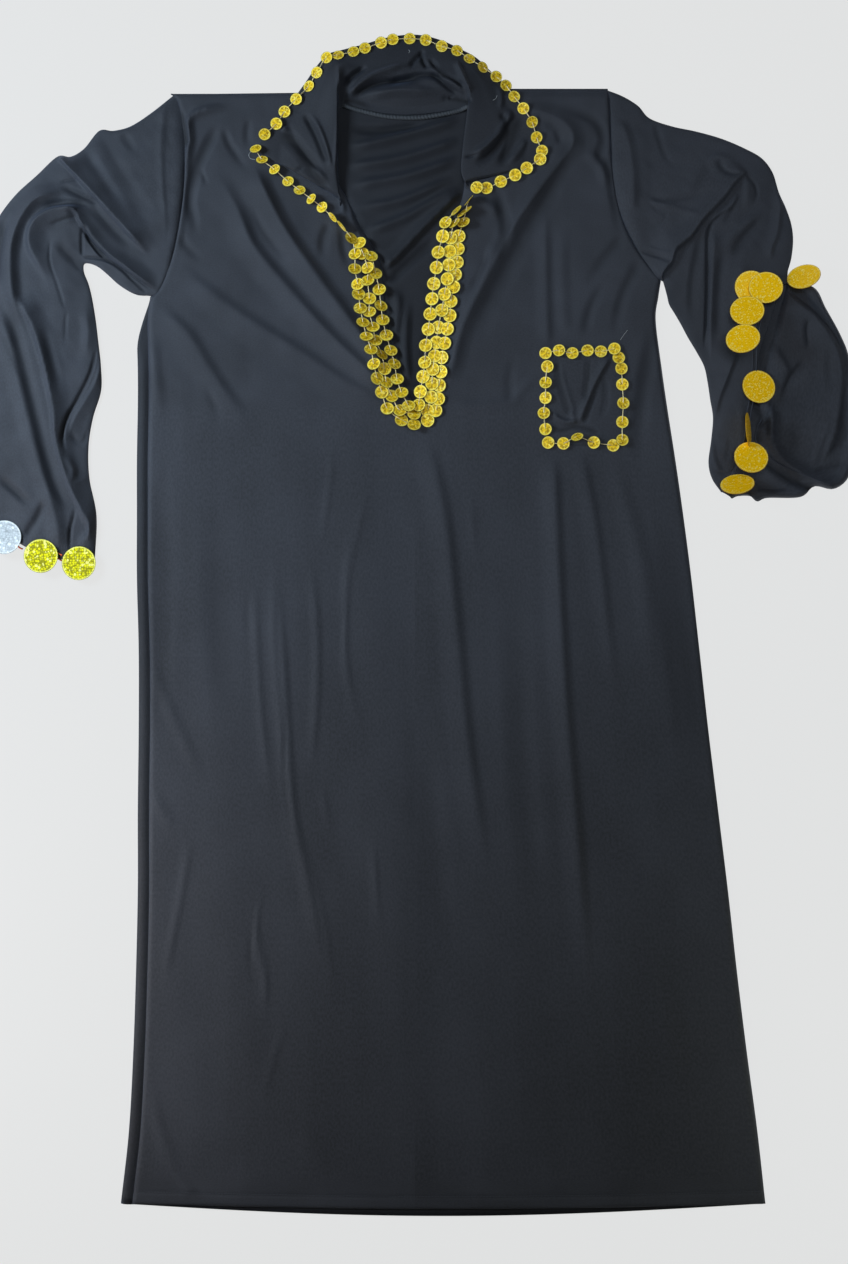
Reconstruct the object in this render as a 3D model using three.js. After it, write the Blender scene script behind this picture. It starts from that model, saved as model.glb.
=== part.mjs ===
// A long jersey dance dress lying flat on its back panel, face up.
// Millimetres, +Z up. X = 0 runs through the point of the neck slit, Y = 0 is the
// middle of the skirt, and the underside of the back panel lies in the plane Z = 0.
import * as THREE from 'three';
import { mergeVertices } from 'three/addons/utils/BufferGeometryUtils.js';

// ---------------------------------------------------------------- driving sizes
const CLOTH = 1.4; // wall of one layer of cloth
const LAYER_GAP = 0.35; // clearance between pieces that lie on each other
const SEAM_GAP = 0.5; // clearance between pieces sewn edge to edge
const SLEEVE_HOLLOW = 0.8; // least space between the two layers of a sleeve
const SLEEVE_PUFF = 5.5; // how far a sleeve's upper layer crowns
const FRONT_TOP = 2 * CLOTH + LAYER_GAP; // height of the flat front panel's face
const SLIT_END = 251; // where the neck slit ends, on X = 0
const BACK_LEAD = 12; // the back panel shows this far beside the front, on the left
const FRONT_HEM_DROP = 6; // the hems curve down this far in the middle
const BACK_HEM_DROP = 14;
const BACK_NECK_DIP = 28; // the back neck is cut this far below the shoulders
const BACK_NECK_HALF = 95;
const BACK_NECK_MIDDLE = -12;
const COLLAR_WALL = 1.6;
const NECK_ROLL_RADIUS = 2.2;
const NECK_ROLL_SIDES = 6;
const POCKET_WALL = 1.1;
const COIN = { diameter: 13.4, thickness: 1, string: 0.9 };
const PAILLETTE = { radius: 19.5, thickness: 1.2, sides: 14 };

// Stations over an armhole and across a sleeve, from the shoulder to the underarm.
const ACROSS = [0, 0.035, 0.11, 0.2, 0.3, 0.4, 0.5, 0.6, 0.7, 0.8, 0.89, 0.965, 1];
const UNDER_ACROSS = [0.965, 0.8, 0.6, 0.4, 0.2, 0.11, 0.035];
const BACK_COLUMNS = [0, 0.12, 0.24, 0.35, 0.43, 0.5, 0.57, 0.64, 0.74, 0.86, 1];
const HALF_COLUMNS = 14;
const ROWS_BELOW_ARMHOLE = 5;

// ---------------------------------------------------------------- cut of the body
// An armhole or sleeve station runs from outer to inner, bowed sideways by bow and
// towards the hem by drop.
const ARMHOLES = {
  left: { outer: [-274, 603], inner: [-297, 376], bow: 25, skew: 1, fullness: 0.5 },
  right: { outer: [216, 609], inner: [276, 396], bow: -25, skew: 1.5, fullness: 0.8 },
};

const NECK = [
  { y: 609, left: -104, right: 80 },
  { y: 582, left: -94, right: 67 },
  { y: 557, left: -91, right: 62 },
  { y: 508, left: -87, right: 56 },
  { y: 484, left: -75, right: 52 },
  { y: 456, left: -62, right: 39 },
  { y: 430, left: -46, right: 29 },
  { y: 408, left: -37, right: 24 },
  { y: 349, left: -30, right: 15 },
  { y: 293, left: -17, right: 7 },
  { y: SLIT_END, left: 0, right: 0 },
];

const SIDES = [
  { y: 396, left: -297, right: 276 },
  { y: 376, left: -297, right: 273 },
  { y: 349, left: -300, right: 270 },
  { y: 293, left: -299, right: 277 },
  { y: 251, left: -299, right: 283 },
  { y: 193, left: -300, right: 292 },
  { y: 130, left: -300, right: 301 },
  { y: 60, left: -300, right: 310 },
  { y: -20, left: -298, right: 319 },
  { y: -110, left: -298, right: 329 },
  { y: -200, left: -299, right: 340 },
  { y: -290, left: -299, right: 351 },
  { y: -380, left: -301, right: 361 },
  { y: -470, left: -304, right: 372 },
  { y: -560, left: -309, right: 384 },
  { y: -641, left: -318, right: 393 },
];

// Folds are soft ridges along a curve from, by, to. half is half the ridge's width.
const FRONT_FOLDS = [
  { from: [-183, 523], by: [-146, 439], to: [-48, 314], half: 26, rise: 7 },
  { from: [-196, 478], by: [-129, 381], to: [-26, 273], half: 24, rise: 5 },
  { from: [-268, 419], by: [-185, 338], to: [-26, 255], half: 24, rise: 5 },
  { from: [-295, 372], by: [-241, 316], to: [-171, 226], half: 22, rise: 4 },
  { from: [-216, 587], by: [-265, 573], to: [-254, 459], half: 22, rise: 5 },
  { from: [127, 576], by: [218, 582], to: [112, 467], half: 24, rise: 7 },
  { from: [112, 467], by: [73, 389], to: [28, 269], half: 24, rise: 8 },
  { from: [141, 484], by: [141, 405], to: [146, 325], half: 20, rise: 4 },
  { from: [183, 590], by: [205, 540], to: [214, 467], half: 22, rise: 4 },
  { from: [221, 439], by: [190, 383], to: [183, 325], half: 22, rise: 3 },
  { from: [146, 198], by: [149, 13], to: [188, -412], half: 26, rise: 7 },
  { from: [183, 202], by: [196, 148], to: [214, 13], half: 22, rise: 4 },
  { from: [19, 215], by: [28, 13], to: [82, -300], half: 26, rise: 7 },
  { from: [-151, 81], by: [-151, -143], to: [-95, -390], half: 24, rise: 3 },
];

const LEFT_SLEEVE = [
  { outer: [-297, 581], inner: [-300, 377], bow: 22 },
  { outer: [-319, 567], inner: [-305, 377], bow: 18 },
  { outer: [-338, 562], inner: [-312, 378], bow: 13 },
  { outer: [-354, 562], inner: [-321, 382], bow: 8 },
  { outer: [-371, 542], inner: [-333, 390], bow: 4 },
  { outer: [-386, 533], inner: [-344, 400], bow: 0 },
  { outer: [-401, 533], inner: [-355, 409], bow: 0 },
  { outer: [-424, 512], inner: [-365, 413], bow: 0 },
  { outer: [-447, 491], inner: [-371, 412], bow: 0 },
  { outer: [-465, 468], inner: [-371, 403], bow: 0 },
  { outer: [-480, 441], inner: [-366, 390], bow: 0 },
  { outer: [-493, 408], inner: [-362, 374], bow: 0 },
  { outer: [-502, 366], inner: [-358, 350], bow: 0 },
  { outer: [-508, 321], inner: [-355, 325], bow: 0 },
  { outer: [-512, 277], inner: [-352, 297], bow: 0 },
  { outer: [-513, 232], inner: [-352, 270], bow: 0 },
  { outer: [-512, 193], inner: [-361, 240], bow: 0 },
  { outer: [-508, 173], inner: [-366, 208], bow: 0 },
  { outer: [-503, 161], inner: [-365, 172], bow: 0 },
  { outer: [-499, 155], inner: [-357, 130], bow: 0, drop: 3 },
  { outer: [-496, 144], inner: [-359, 80], bow: 0, drop: 8 },
];

const LEFT_SLEEVE_FOLDS = [
  { from: [-398, 531], by: [-353, 484], to: [-297, 414], half: 18, rise: 10 },
  { from: [-358, 551], by: [-333, 495], to: [-295, 403], half: 17, rise: 6 },
  { from: [-398, 478], by: [-362, 467], to: [-297, 385], half: 15, rise: 8 },
  { from: [-476, 405], by: [-442, 305], to: [-402, 97], half: 20, rise: 9 },
  { from: [-398, 488], by: [-465, 467], to: [-449, 372], half: 18, rise: 10 },
  { from: [-449, 372], by: [-414, 316], to: [-400, 215], half: 16, rise: 9 },
  { from: [-400, 215], by: [-391, 170], to: [-368, 114], half: 14, rise: 8 },
  { from: [-377, 468], by: [-442, 456], to: [-416, 400], half: 14, rise: 7 },
  { from: [-386, 428], by: [-373, 372], to: [-366, 305], half: 14, rise: 6 },
  { from: [-493, 372], by: [-489, 282], to: [-482, 159], half: 17, rise: 6 },
];

const RIGHT_SLEEVE = [
  { outer: [232, 601], inner: [281, 391], bow: -14 },
  { outer: [250, 590], inner: [282, 384], bow: -8 },
  { outer: [263, 576], inner: [283, 376], bow: -4 },
  { outer: [288, 567], inner: [285, 367], bow: 0 },
  { outer: [316, 561], inner: [291, 357], bow: 0 },
  { outer: [344, 553], inner: [298, 345], bow: 0 },
  { outer: [370, 542], inner: [306, 330], bow: 0 },
  { outer: [389, 531], inner: [315, 315], bow: 0 },
  { outer: [401, 515], inner: [324, 298], bow: 0 },
  { outer: [408, 493], inner: [328, 280], bow: 0 },
  { outer: [416, 475], inner: [331, 260], bow: 0 },
  { outer: [422, 457], inner: [334, 240], bow: 0 },
  { outer: [424, 439], inner: [332, 215], bow: 0 },
  { outer: [422, 419], inner: [329, 190], bow: 0 },
  { outer: [418, 404], inner: [333, 172], bow: 0 },
  { outer: [418, 391], inner: [343, 157], bow: 0 },
];

const RIGHT_SLEEVE_FOLDS = [
  { from: [362, 511], by: [319, 468], to: [279, 410], half: 19, rise: 11 },
  { from: [252, 573], by: [207, 529], to: [232, 450], half: 17, rise: 5 },
  { from: [263, 568], by: [319, 517], to: [336, 540], half: 20, rise: 5 },
  { from: [333, 452], by: [337, 372], to: [333, 293], half: 17, rise: 8 },
  { from: [366, 512], by: [358, 450], to: [351, 338], half: 18, rise: 8 },
  { from: [398, 512], by: [400, 467], to: [389, 414], half: 18, rise: 7 },
  { from: [358, 310], by: [337, 260], to: [344, 193], half: 17, rise: 7 },
  { from: [398, 378], by: [376, 316], to: [366, 210], half: 16, rise: 8 },
];

// The lower layer of the right cuff reaches past the upper one, to this curve.
const RIGHT_CUFF_MOUTH = [
  [430, 393],
  [463, 374],
  [486, 312],
  [495, 237],
  [484, 174],
  [440, 153],
  [390, 149],
  [350, 151],
];
const MOUTH_ROWS = [0.3, 0.62, 0.86, 1];
const MOUTH_FOLDS = [
  { from: [414, 383], by: [456, 340], to: [474, 277], half: 20, rise: 4 },
  { from: [474, 237], by: [458, 205], to: [448, 172], half: 18, rise: 4 },
  { from: [437, 305], by: [415, 260], to: [412, 231], half: 18, rise: 3 },
];

// One row for each section of the collar, round the neck from left to right.
const COLLAR = [
  { seam: [-84, 477], roll: [-87, 486, 8], edge: [-178, 539, 5] },
  { seam: [-85, 495], roll: [-91, 511, 12], edge: [-172, 551, 5] },
  { seam: [-86, 523], roll: [-91, 538, 14], edge: [-158, 571, 5] },
  { seam: [-87, 549], roll: [-89, 564, 16], edge: [-141, 592, 5] },
  { seam: [-87, 571], roll: [-88, 591, 17], edge: [-124, 615, 5] },
  { seam: [-86, 582], roll: [-87, 612, 16], edge: [-111, 634, 4] },
  { seam: [-83, 586], roll: [-83, 622, 13], edge: [-98, 648, 3] },
  { seam: [-76, 587], roll: [-76, 625, 10], edge: [-82, 653, 2] },
  { seam: [-60, 585], roll: [-60, 618, 9], edge: [-59, 659, 1] },
  { seam: [-36, 581], roll: [-35, 610, 10], edge: [-26, 668, 1] },
  { seam: [-11, 579], roll: [-10, 607, 11], edge: [3, 670, 1] },
  { seam: [17, 581], roll: [19, 610, 10], edge: [29, 664, 1] },
  { seam: [38, 584], roll: [41, 617, 9], edge: [51, 654, 2] },
  { seam: [53, 586], roll: [55, 618, 12], edge: [69, 644, 3] },
  { seam: [60, 582], roll: [61, 604, 15], edge: [88, 626, 4] },
  { seam: [62, 568], roll: [59, 582, 17], edge: [108, 606, 5] },
  { seam: [61, 549], roll: [57, 560, 16], edge: [127, 582, 5] },
  { seam: [59, 529], roll: [55, 538, 14], edge: [140, 553, 5] },
  { seam: [59, 508], roll: [54, 517, 11], edge: [148, 534, 5] },
  { seam: [66, 492], roll: [59, 502, 8], edge: [141, 524, 5] },
];
const COLLAR_STEPS = 8;

const NECK_ROLL_PATH = [
  [-82, 590],
  [-62, 584],
  [-30, 577],
  [5, 576],
  [38, 581],
  [60, 587],
];

// The patch pocket's corners: top left, top right, bottom right, bottom left.
const POCKET = { left: 145, right: 233, top: 314, bottom: 209, columns: 6, rows: 7 };

// Rows of coins beside the neck slit: aside is how far out from the slit's edge,
// point is where the row ends under the slit.
const NECK_TRIM_ROWS = [
  { name: 'inner', aside: 4, leftTop: 432, rightTop: 474, point: 247, coins: 14 },
  { name: 'middle', aside: 15, leftTop: 441, rightTop: 477, point: 236, coins: 15 },
  { name: 'outer', aside: 26, leftTop: 448, rightTop: 480, point: 226, coins: 16 },
];

const PAILLETTES = [
  { name: 'left_1', at: [-376, 77], tilt: 4, heading: 90 },
  { name: 'left_2', at: [-420, 85], tilt: 4, heading: 60 },
  { name: 'left_3', at: [-462, 106], tilt: 6, heading: 90 },
  { name: 'left_4', at: [-500, 134], tilt: 6, heading: 30 },
  { name: 'right_1', at: [377, 390], tilt: 8, heading: 0 },
  { name: 'right_2', at: [398, 386], tilt: 40, heading: 70 },
  { name: 'right_3', at: [371, 358], tilt: 24, heading: 80 },
  { name: 'right_4', at: [364, 325], tilt: 30, heading: 80 },
  { name: 'right_5', at: [386, 274], tilt: 14, heading: 20 },
  { name: 'right_6', at: [373, 229], tilt: 74, heading: 4 },
  { name: 'right_7', at: [379, 197], tilt: 24, heading: 70 },
  { name: 'right_8', at: [361, 165], tilt: 46, heading: 90 },
  { name: 'right_9', at: [438, 394], tilt: 44, heading: -110 },
];

// ---------------------------------------------------------------- materials
function finish(color, roughness, metalness) {
  return new THREE.MeshStandardMaterial({ color, roughness, metalness });
}

const JERSEY = finish(0x20242d, 0.62, 0);
const GOLD = finish(0xcfa62a, 0.36, 0.85);
const SILVER = finish(0xc9cdd2, 0.34, 0.85);

// ---------------------------------------------------------------- small helpers
const lerp = THREE.MathUtils.lerp;

function clamp01(value) {
  return THREE.MathUtils.clamp(value, 0, 1);
}

// Reads a column of a table whose rows go down in y.
function readTable(table, column, y) {
  const last = table.length - 1;
  for (let i = 0; i < last; i += 1) {
    if (y >= table[i + 1].y) {
      const share = clamp01((table[i].y - y) / (table[i].y - table[i + 1].y));
      return lerp(table[i][column], table[i + 1][column], share);
    }
  }
  return table[last][column];
}

function stationPoint(station, cut, share) {
  const bow = station.bow * Math.pow(Math.sin(Math.PI * Math.pow(share, cut.skew)), cut.fullness);
  const sideways = share > 0 && share < 1 ? bow : 0;
  const drop = (station.drop ?? 0) * Math.sin(Math.PI * share);
  return [
    lerp(station.outer[0], station.inner[0], share) + sideways,
    lerp(station.outer[1], station.inner[1], share) - drop,
  ];
}

function foldHeight(folds, x, y) {
  let height = 0;
  for (const fold of folds) {
    fold.samples ??= sampleFold(fold);
    let nearest = Infinity;
    let along = 0;
    for (const sample of fold.samples) {
      const distance = Math.hypot(x - sample.x, y - sample.y);
      if (distance < nearest) {
        nearest = distance;
        along = sample.share;
      }
    }
    const across = Math.cos(0.5 * Math.PI * Math.min(1, nearest / fold.half)) ** 2;
    height += fold.rise * across * Math.sqrt(Math.max(0, Math.sin(Math.PI * along)));
  }
  return height;
}

function sampleFold(fold) {
  const steps = 40;
  const curve = new THREE.QuadraticBezierCurve(
    new THREE.Vector2(...fold.from),
    new THREE.Vector2(...fold.by),
    new THREE.Vector2(...fold.to),
  );
  return curve.getPoints(steps).map((point, i) => ({ x: point.x, y: point.y, share: i / steps }));
}

// ---------------------------------------------------------------- cloth sheets
// A sheet is an open surface of one cloth layer, with its two faces' points.
class Sheet {
  constructor() {
    this.outer = [];
    this.inner = [];
    this.faces = [];
  }

  addPoint(outer, inner) {
    this.outer.push(outer);
    this.inner.push(inner);
    return this.outer.length - 1;
  }

  addQuad(a, b, c, d) {
    this.faces.push([a, b, c], [a, c, d]);
  }

  addGrid(rows) {
    for (let r = 0; r + 1 < rows.length; r += 1) {
      for (let c = 0; c + 1 < rows[r].length; c += 1) {
        this.addQuad(rows[r][c], rows[r + 1][c], rows[r + 1][c + 1], rows[r][c + 1]);
      }
    }
  }

  // Lifts the sheet until it clears what lies below, face by face.
  settle(below, gap) {
    const lifts = new Array(this.outer.length).fill(0);
    for (const side of [this.outer, this.inner]) {
      for (const face of this.faces) {
        const corners = face.map((index) => side[index]);
        const lift = faceLift(corners, below, gap, SAMPLE_REACH);
        for (const index of face) {
          lifts[index] = Math.max(lifts[index], lift);
        }
      }
    }
    lifts.forEach((lift, index) => {
      this.outer[index][2] += lift;
      this.inner[index][2] += lift;
    });
  }

  // Closes the layer: both faces, and a rim along every open edge.
  toGeometry() {
    const count = this.outer.length;
    const triangles = [];
    const directed = new Set();
    for (const [a, b, c] of this.faces) {
      triangles.push([a, b, c], [c + count, b + count, a + count]);
      directed.add(`${a}_${b}`).add(`${b}_${c}`).add(`${c}_${a}`);
    }
    for (const edge of directed) {
      const [a, b] = edge.split('_').map(Number);
      if (!directed.has(`${b}_${a}`)) {
        triangles.push([b, a, a + count], [b, a + count, b + count]);
      }
    }
    const points = [...this.outer, ...this.inner];
    if (signedVolume(points, triangles) < 0) {
      triangles.forEach((triangle) => triangle.reverse());
    }
    const geometry = new THREE.BufferGeometry();
    geometry.setAttribute('position', new THREE.Float32BufferAttribute(points.flat(), 3));
    geometry.setIndex(triangles.flat());
    return geometry;
  }
}

function signedVolume(points, triangles) {
  let volume = 0;
  for (const [a, b, c] of triangles) {
    const [p, q, r] = [points[a], points[b], points[c]];
    volume += p[0] * (q[1] * r[2] - q[2] * r[1]);
    volume += p[1] * (q[2] * r[0] - q[0] * r[2]);
    volume += p[2] * (q[0] * r[1] - q[1] * r[0]);
  }
  return volume;
}

const SAMPLE_STEP = 2; // spacing of the clearance samples over a face
const SAMPLE_REACH = 1.2; // each sample of a soft piece looks this far around itself
const DISC_REACH = 0.4; // and each sample of a paillette this far

function faceLift([p, q, r], below, gap, reach) {
  const longest = Math.max(
    Math.hypot(p[0] - q[0], p[1] - q[1]),
    Math.hypot(q[0] - r[0], q[1] - r[1]),
    Math.hypot(r[0] - p[0], r[1] - p[1]),
  );
  const steps = Math.max(2, Math.ceil(longest / SAMPLE_STEP));
  let lift = 0;
  for (let i = 0; i <= steps; i += 1) {
    for (let j = 0; i + j <= steps; j += 1) {
      const [u, v] = [i / steps, j / steps];
      const w = 1 - u - v;
      const x = w * p[0] + u * q[0] + v * r[0];
      const y = w * p[1] + u * q[1] + v * r[1];
      const z = w * p[2] + u * q[2] + v * r[2];
      lift = Math.max(lift, below.around(x, y, reach) + gap - z);
    }
  }
  return lift;
}

// Everything laid so far, read as the height over a point of the floor.
class LaidPieces {
  constructor() {
    this.cell = 20;
    this.cells = new Map();
  }

  add(geometry) {
    const position = geometry.getAttribute('position');
    const index = geometry.getIndex();
    for (let i = 0; i < index.count; i += 3) {
      const corners = [0, 1, 2].map((k) => {
        const vertex = index.getX(i + k);
        return [position.getX(vertex), position.getY(vertex), position.getZ(vertex)];
      });
      this.file(corners);
    }
  }

  file(corners) {
    const range = [0, 1].map((axis) => {
      const values = corners.map((corner) => Math.floor(corner[axis] / this.cell));
      return [Math.min(...values), Math.max(...values)];
    });
    for (let i = range[0][0]; i <= range[0][1]; i += 1) {
      for (let j = range[1][0]; j <= range[1][1]; j += 1) {
        const key = `${i}_${j}`;
        if (!this.cells.has(key)) {
          this.cells.set(key, []);
        }
        this.cells.get(key).push(corners);
      }
    }
  }

  at(x, y) {
    const key = `${Math.floor(x / this.cell)}_${Math.floor(y / this.cell)}`;
    let height = -LAYER_GAP;
    for (const [p, q, r] of this.cells.get(key) ?? []) {
      const area = (q[0] - p[0]) * (r[1] - p[1]) - (r[0] - p[0]) * (q[1] - p[1]);
      if (Math.abs(area) < 1e-6) {
        continue;
      }
      const v = ((x - p[0]) * (r[1] - p[1]) - (r[0] - p[0]) * (y - p[1])) / area;
      const w = ((q[0] - p[0]) * (y - p[1]) - (x - p[0]) * (q[1] - p[1])) / area;
      if (v >= 0 && w >= 0 && v + w <= 1) {
        height = Math.max(height, p[2] + v * (q[2] - p[2]) + w * (r[2] - p[2]));
      }
    }
    return height;
  }

  around(x, y, reach) {
    return Math.max(
      this.at(x, y),
      this.at(x - reach, y),
      this.at(x + reach, y),
      this.at(x, y - reach),
      this.at(x, y + reach),
    );
  }
}

const dress = new THREE.Group();
const laid = new LaidPieces();

function place(name, geometry, material) {
  const mesh = new THREE.Mesh(geometry, material);
  mesh.name = name;
  dress.add(mesh);
  laid.add(geometry);
}

// ---------------------------------------------------------------- body panels
function hemDrop(x, y, left, right, depth) {
  const nearness = clamp01((-340 - y) / 300);
  return depth * nearness * Math.sin(Math.PI * clamp01((x - left) / (right - left)));
}

function sideRows() {
  const fromSlit = SIDES.filter((row) => row.y < SLIT_END).map((row) => row.y);
  return [SLIT_END, ...fromSlit];
}

function makeBack() {
  const sheet = new Sheet();
  const top = ACROSS.map((share) => ({
    left: stationPoint(ARMHOLES.left, ARMHOLES.left, share),
    right: stationPoint(ARMHOLES.right, ARMHOLES.right, share),
    dip: clamp01(1 - share / 0.3),
  }));
  const low = [330, ...sideRows()].map((y) => ({
    left: [readTable(SIDES, 'left', y) - BACK_LEAD, y],
    right: [readTable(SIDES, 'right', y) - 1, y],
    dip: 0,
  }));
  const rows = [...top, ...low].map((row) =>
    BACK_COLUMNS.map((share) => {
      const x = lerp(row.left[0], row.right[0], share);
      const away = (x - BACK_NECK_MIDDLE) / BACK_NECK_HALF;
      const dip = BACK_NECK_DIP * row.dip * Math.max(0, 1 - away * away);
      const hem = hemDrop(x, row.left[1], row.left[0], row.right[0], BACK_HEM_DROP);
      const y = lerp(row.left[1], row.right[1], share) - dip - hem;
      return sheet.addPoint([x, y, CLOTH], [x, y, 0]);
    }),
  );
  sheet.addGrid(rows);
  return sheet;
}

function makeFront() {
  const sheet = new Sheet();
  const addFrontPoint = (x, y) => {
    const top = FRONT_TOP + foldHeight(FRONT_FOLDS, x, y);
    return sheet.addPoint([x, y, top], [x, y, top - CLOTH]);
  };
  const heights = (side) => {
    const cut = ARMHOLES[side];
    const armhole = ACROSS.map((share) => stationPoint(cut, cut, share));
    for (let i = 1; i < ROWS_BELOW_ARMHOLE; i += 1) {
      const y = lerp(cut.inner[1], SLIT_END, i / ROWS_BELOW_ARMHOLE);
      armhole.push([readTable(SIDES, side, y), y]);
    }
    return armhole;
  };
  const leftEdge = heights('left');
  const rightEdge = heights('right');
  const shares = Array.from({ length: HALF_COLUMNS + 1 }, (_, i) => i / HALF_COLUMNS);
  const leftRows = leftEdge.map(([side, y]) =>
    shares.map((share) => addFrontPoint(lerp(side, readTable(NECK, 'left', y), share), y)),
  );
  const rightRows = rightEdge.map(([side, y]) =>
    shares.map((share) => addFrontPoint(lerp(readTable(NECK, 'right', y), side, share), y)),
  );
  for (const level of sideRows()) {
    const left = readTable(SIDES, 'left', level);
    const right = readTable(SIDES, 'right', level);
    const point = (x) => addFrontPoint(x, level - hemDrop(x, level, left, right, FRONT_HEM_DROP));
    const leftHalf = shares.map((share) => point(lerp(left, 0, share)));
    const rightHalf = shares.slice(1).map((share) => point(lerp(0, right, share)));
    leftRows.push(leftHalf);
    rightRows.push([leftHalf[HALF_COLUMNS], ...rightHalf]);
  }
  sheet.addGrid(leftRows);
  sheet.addGrid(rightRows);
  return sheet;
}

// ---------------------------------------------------------------- sleeves
// A flattened tube: the upper layer crowns and folds, the lower one lies flat.
function makeSleeve(cut, stations, folds, outward) {
  const sheet = new Sheet();
  const flatHeight = 2 * CLOTH + SLEEVE_HOLLOW;
  const first = {
    outer: [cut.outer[0] + outward * SEAM_GAP, cut.outer[1]],
    inner: [cut.inner[0] + outward * SEAM_GAP, cut.inner[1]],
    bow: cut.bow,
  };
  const rings = [first, ...stations].map((station) => {
    const across = [station.inner[0] - station.outer[0], station.inner[1] - station.outer[1]];
    const length = Math.hypot(...across);
    const inward = [(across[0] / length) * CLOTH, (across[1] / length) * CLOTH];
    const ring = ACROSS.map((share) => {
      const [x, y] = stationPoint(station, cut, share);
      if (share === 0 || share === 1) {
        const sign = share === 0 ? 1 : -1;
        const middle = flatHeight / 2;
        return sheet.addPoint(
          [x, y, middle],
          [x + sign * inward[0], y + sign * inward[1], middle],
        );
      }
      const crown = SLEEVE_PUFF * Math.sin(Math.PI * share);
      const top = flatHeight + crown + foldHeight(folds, x, y);
      return sheet.addPoint([x, y, top], [x, y, top - CLOTH]);
    });
    for (const share of UNDER_ACROSS) {
      const [x, y] = stationPoint(station, cut, share);
      ring.push(sheet.addPoint([x, y, 0], [x, y, CLOTH]));
    }
    return [...ring, ring[0]];
  });
  sheet.addGrid(rings);
  return { sheet, lastRing: rings[rings.length - 1] };
}

function addCuffMouth(sheet, lastRing) {
  const curve = new THREE.CatmullRomCurve3(
    RIGHT_CUFF_MOUTH.map(([x, y]) => new THREE.Vector3(x, y, 0)),
  );
  const start = lastRing.slice(ACROSS.length, ACROSS.length + UNDER_ACROSS.length);
  const rows = [start];
  for (const reach of MOUTH_ROWS) {
    rows.push(
      start.map((index, i) => {
        const end = curve.getPoint(UNDER_ACROSS[i]);
        const [fromX, fromY] = sheet.outer[index];
        const x = lerp(fromX, end.x, reach);
        const y = lerp(fromY, end.y, reach);
        const lift = foldHeight(MOUTH_FOLDS, x, y) * reach;
        return sheet.addPoint([x, y, lift], [x, y, lift + CLOTH]);
      }),
    );
  }
  sheet.addGrid(rows);
}

// ---------------------------------------------------------------- collar
function collarSections() {
  return COLLAR.map(({ seam, roll, edge }) => {
    const curve = new THREE.CatmullRomCurve3([
      new THREE.Vector3(seam[0], seam[1], 3),
      new THREE.Vector3(...roll),
      new THREE.Vector3(
        lerp(roll[0], edge[0], 0.5),
        lerp(roll[1], edge[1], 0.5),
        lerp(roll[2], edge[2], 0.62),
      ),
      new THREE.Vector3(...edge),
    ]);
    return curve.getPoints(COLLAR_STEPS);
  });
}

// Gives a grid of points a wall of even thickness, half to each side.
function thickenGrid(grid, wall) {
  const sheet = new Sheet();
  const rows = grid.map((row, r) =>
    row.map((point, c) => {
      const before = grid[Math.max(0, r - 1)][c];
      const after = grid[Math.min(grid.length - 1, r + 1)][c];
      const along = new THREE.Vector3().subVectors(after, before);
      const from = row[Math.max(0, c - 1)];
      const to = row[Math.min(row.length - 1, c + 1)];
      const across = new THREE.Vector3().subVectors(to, from);
      const normal = across.cross(along).normalize();
      const half = normal.multiplyScalar(normal.z < 0 ? -wall / 2 : wall / 2);
      const upper = point.clone().add(half);
      const lower = point.clone().sub(half);
      return sheet.addPoint(upper.toArray(), lower.toArray());
    }),
  );
  sheet.addGrid(rows);
  return sheet;
}

function makeNeckRoll() {
  const centre = NECK_ROLL_PATH.map(([x, y]) => {
    const z = laid.around(x, y, NECK_ROLL_RADIUS + 2) + NECK_ROLL_RADIUS + LAYER_GAP;
    return new THREE.Vector3(x, y, z);
  });
  const highest = Math.max(...centre.map((point) => point.z));
  centre.forEach((point) => point.setZ(highest));
  const section = new THREE.Shape();
  for (let i = 0; i < NECK_ROLL_SIDES; i += 1) {
    const angle = (2 * Math.PI * i) / NECK_ROLL_SIDES;
    const corner = [NECK_ROLL_RADIUS * Math.cos(angle), NECK_ROLL_RADIUS * Math.sin(angle)];
    if (i === 0) {
      section.moveTo(...corner);
    } else {
      section.lineTo(...corner);
    }
  }
  const geometry = new THREE.ExtrudeGeometry(section, {
    extrudePath: new THREE.CatmullRomCurve3(centre),
    steps: 18,
  });
  return welded(geometry);
}

function welded(geometry) {
  geometry.deleteAttribute('normal');
  geometry.deleteAttribute('uv');
  return mergeVertices(geometry, 1e-4);
}

// ---------------------------------------------------------------- pocket and trims
function makePocket() {
  const sheet = new Sheet();
  const rows = [];
  for (let r = 0; r <= POCKET.rows; r += 1) {
    const row = [];
    for (let c = 0; c <= POCKET.columns; c += 1) {
      const x = lerp(POCKET.left, POCKET.right, c / POCKET.columns);
      const y = lerp(POCKET.top, POCKET.bottom, r / POCKET.rows);
      row.push(sheet.addPoint([x, y, POCKET_WALL], [x, y, 0]));
    }
    rows.push(row);
  }
  sheet.addGrid(rows);
  return sheet;
}

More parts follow.
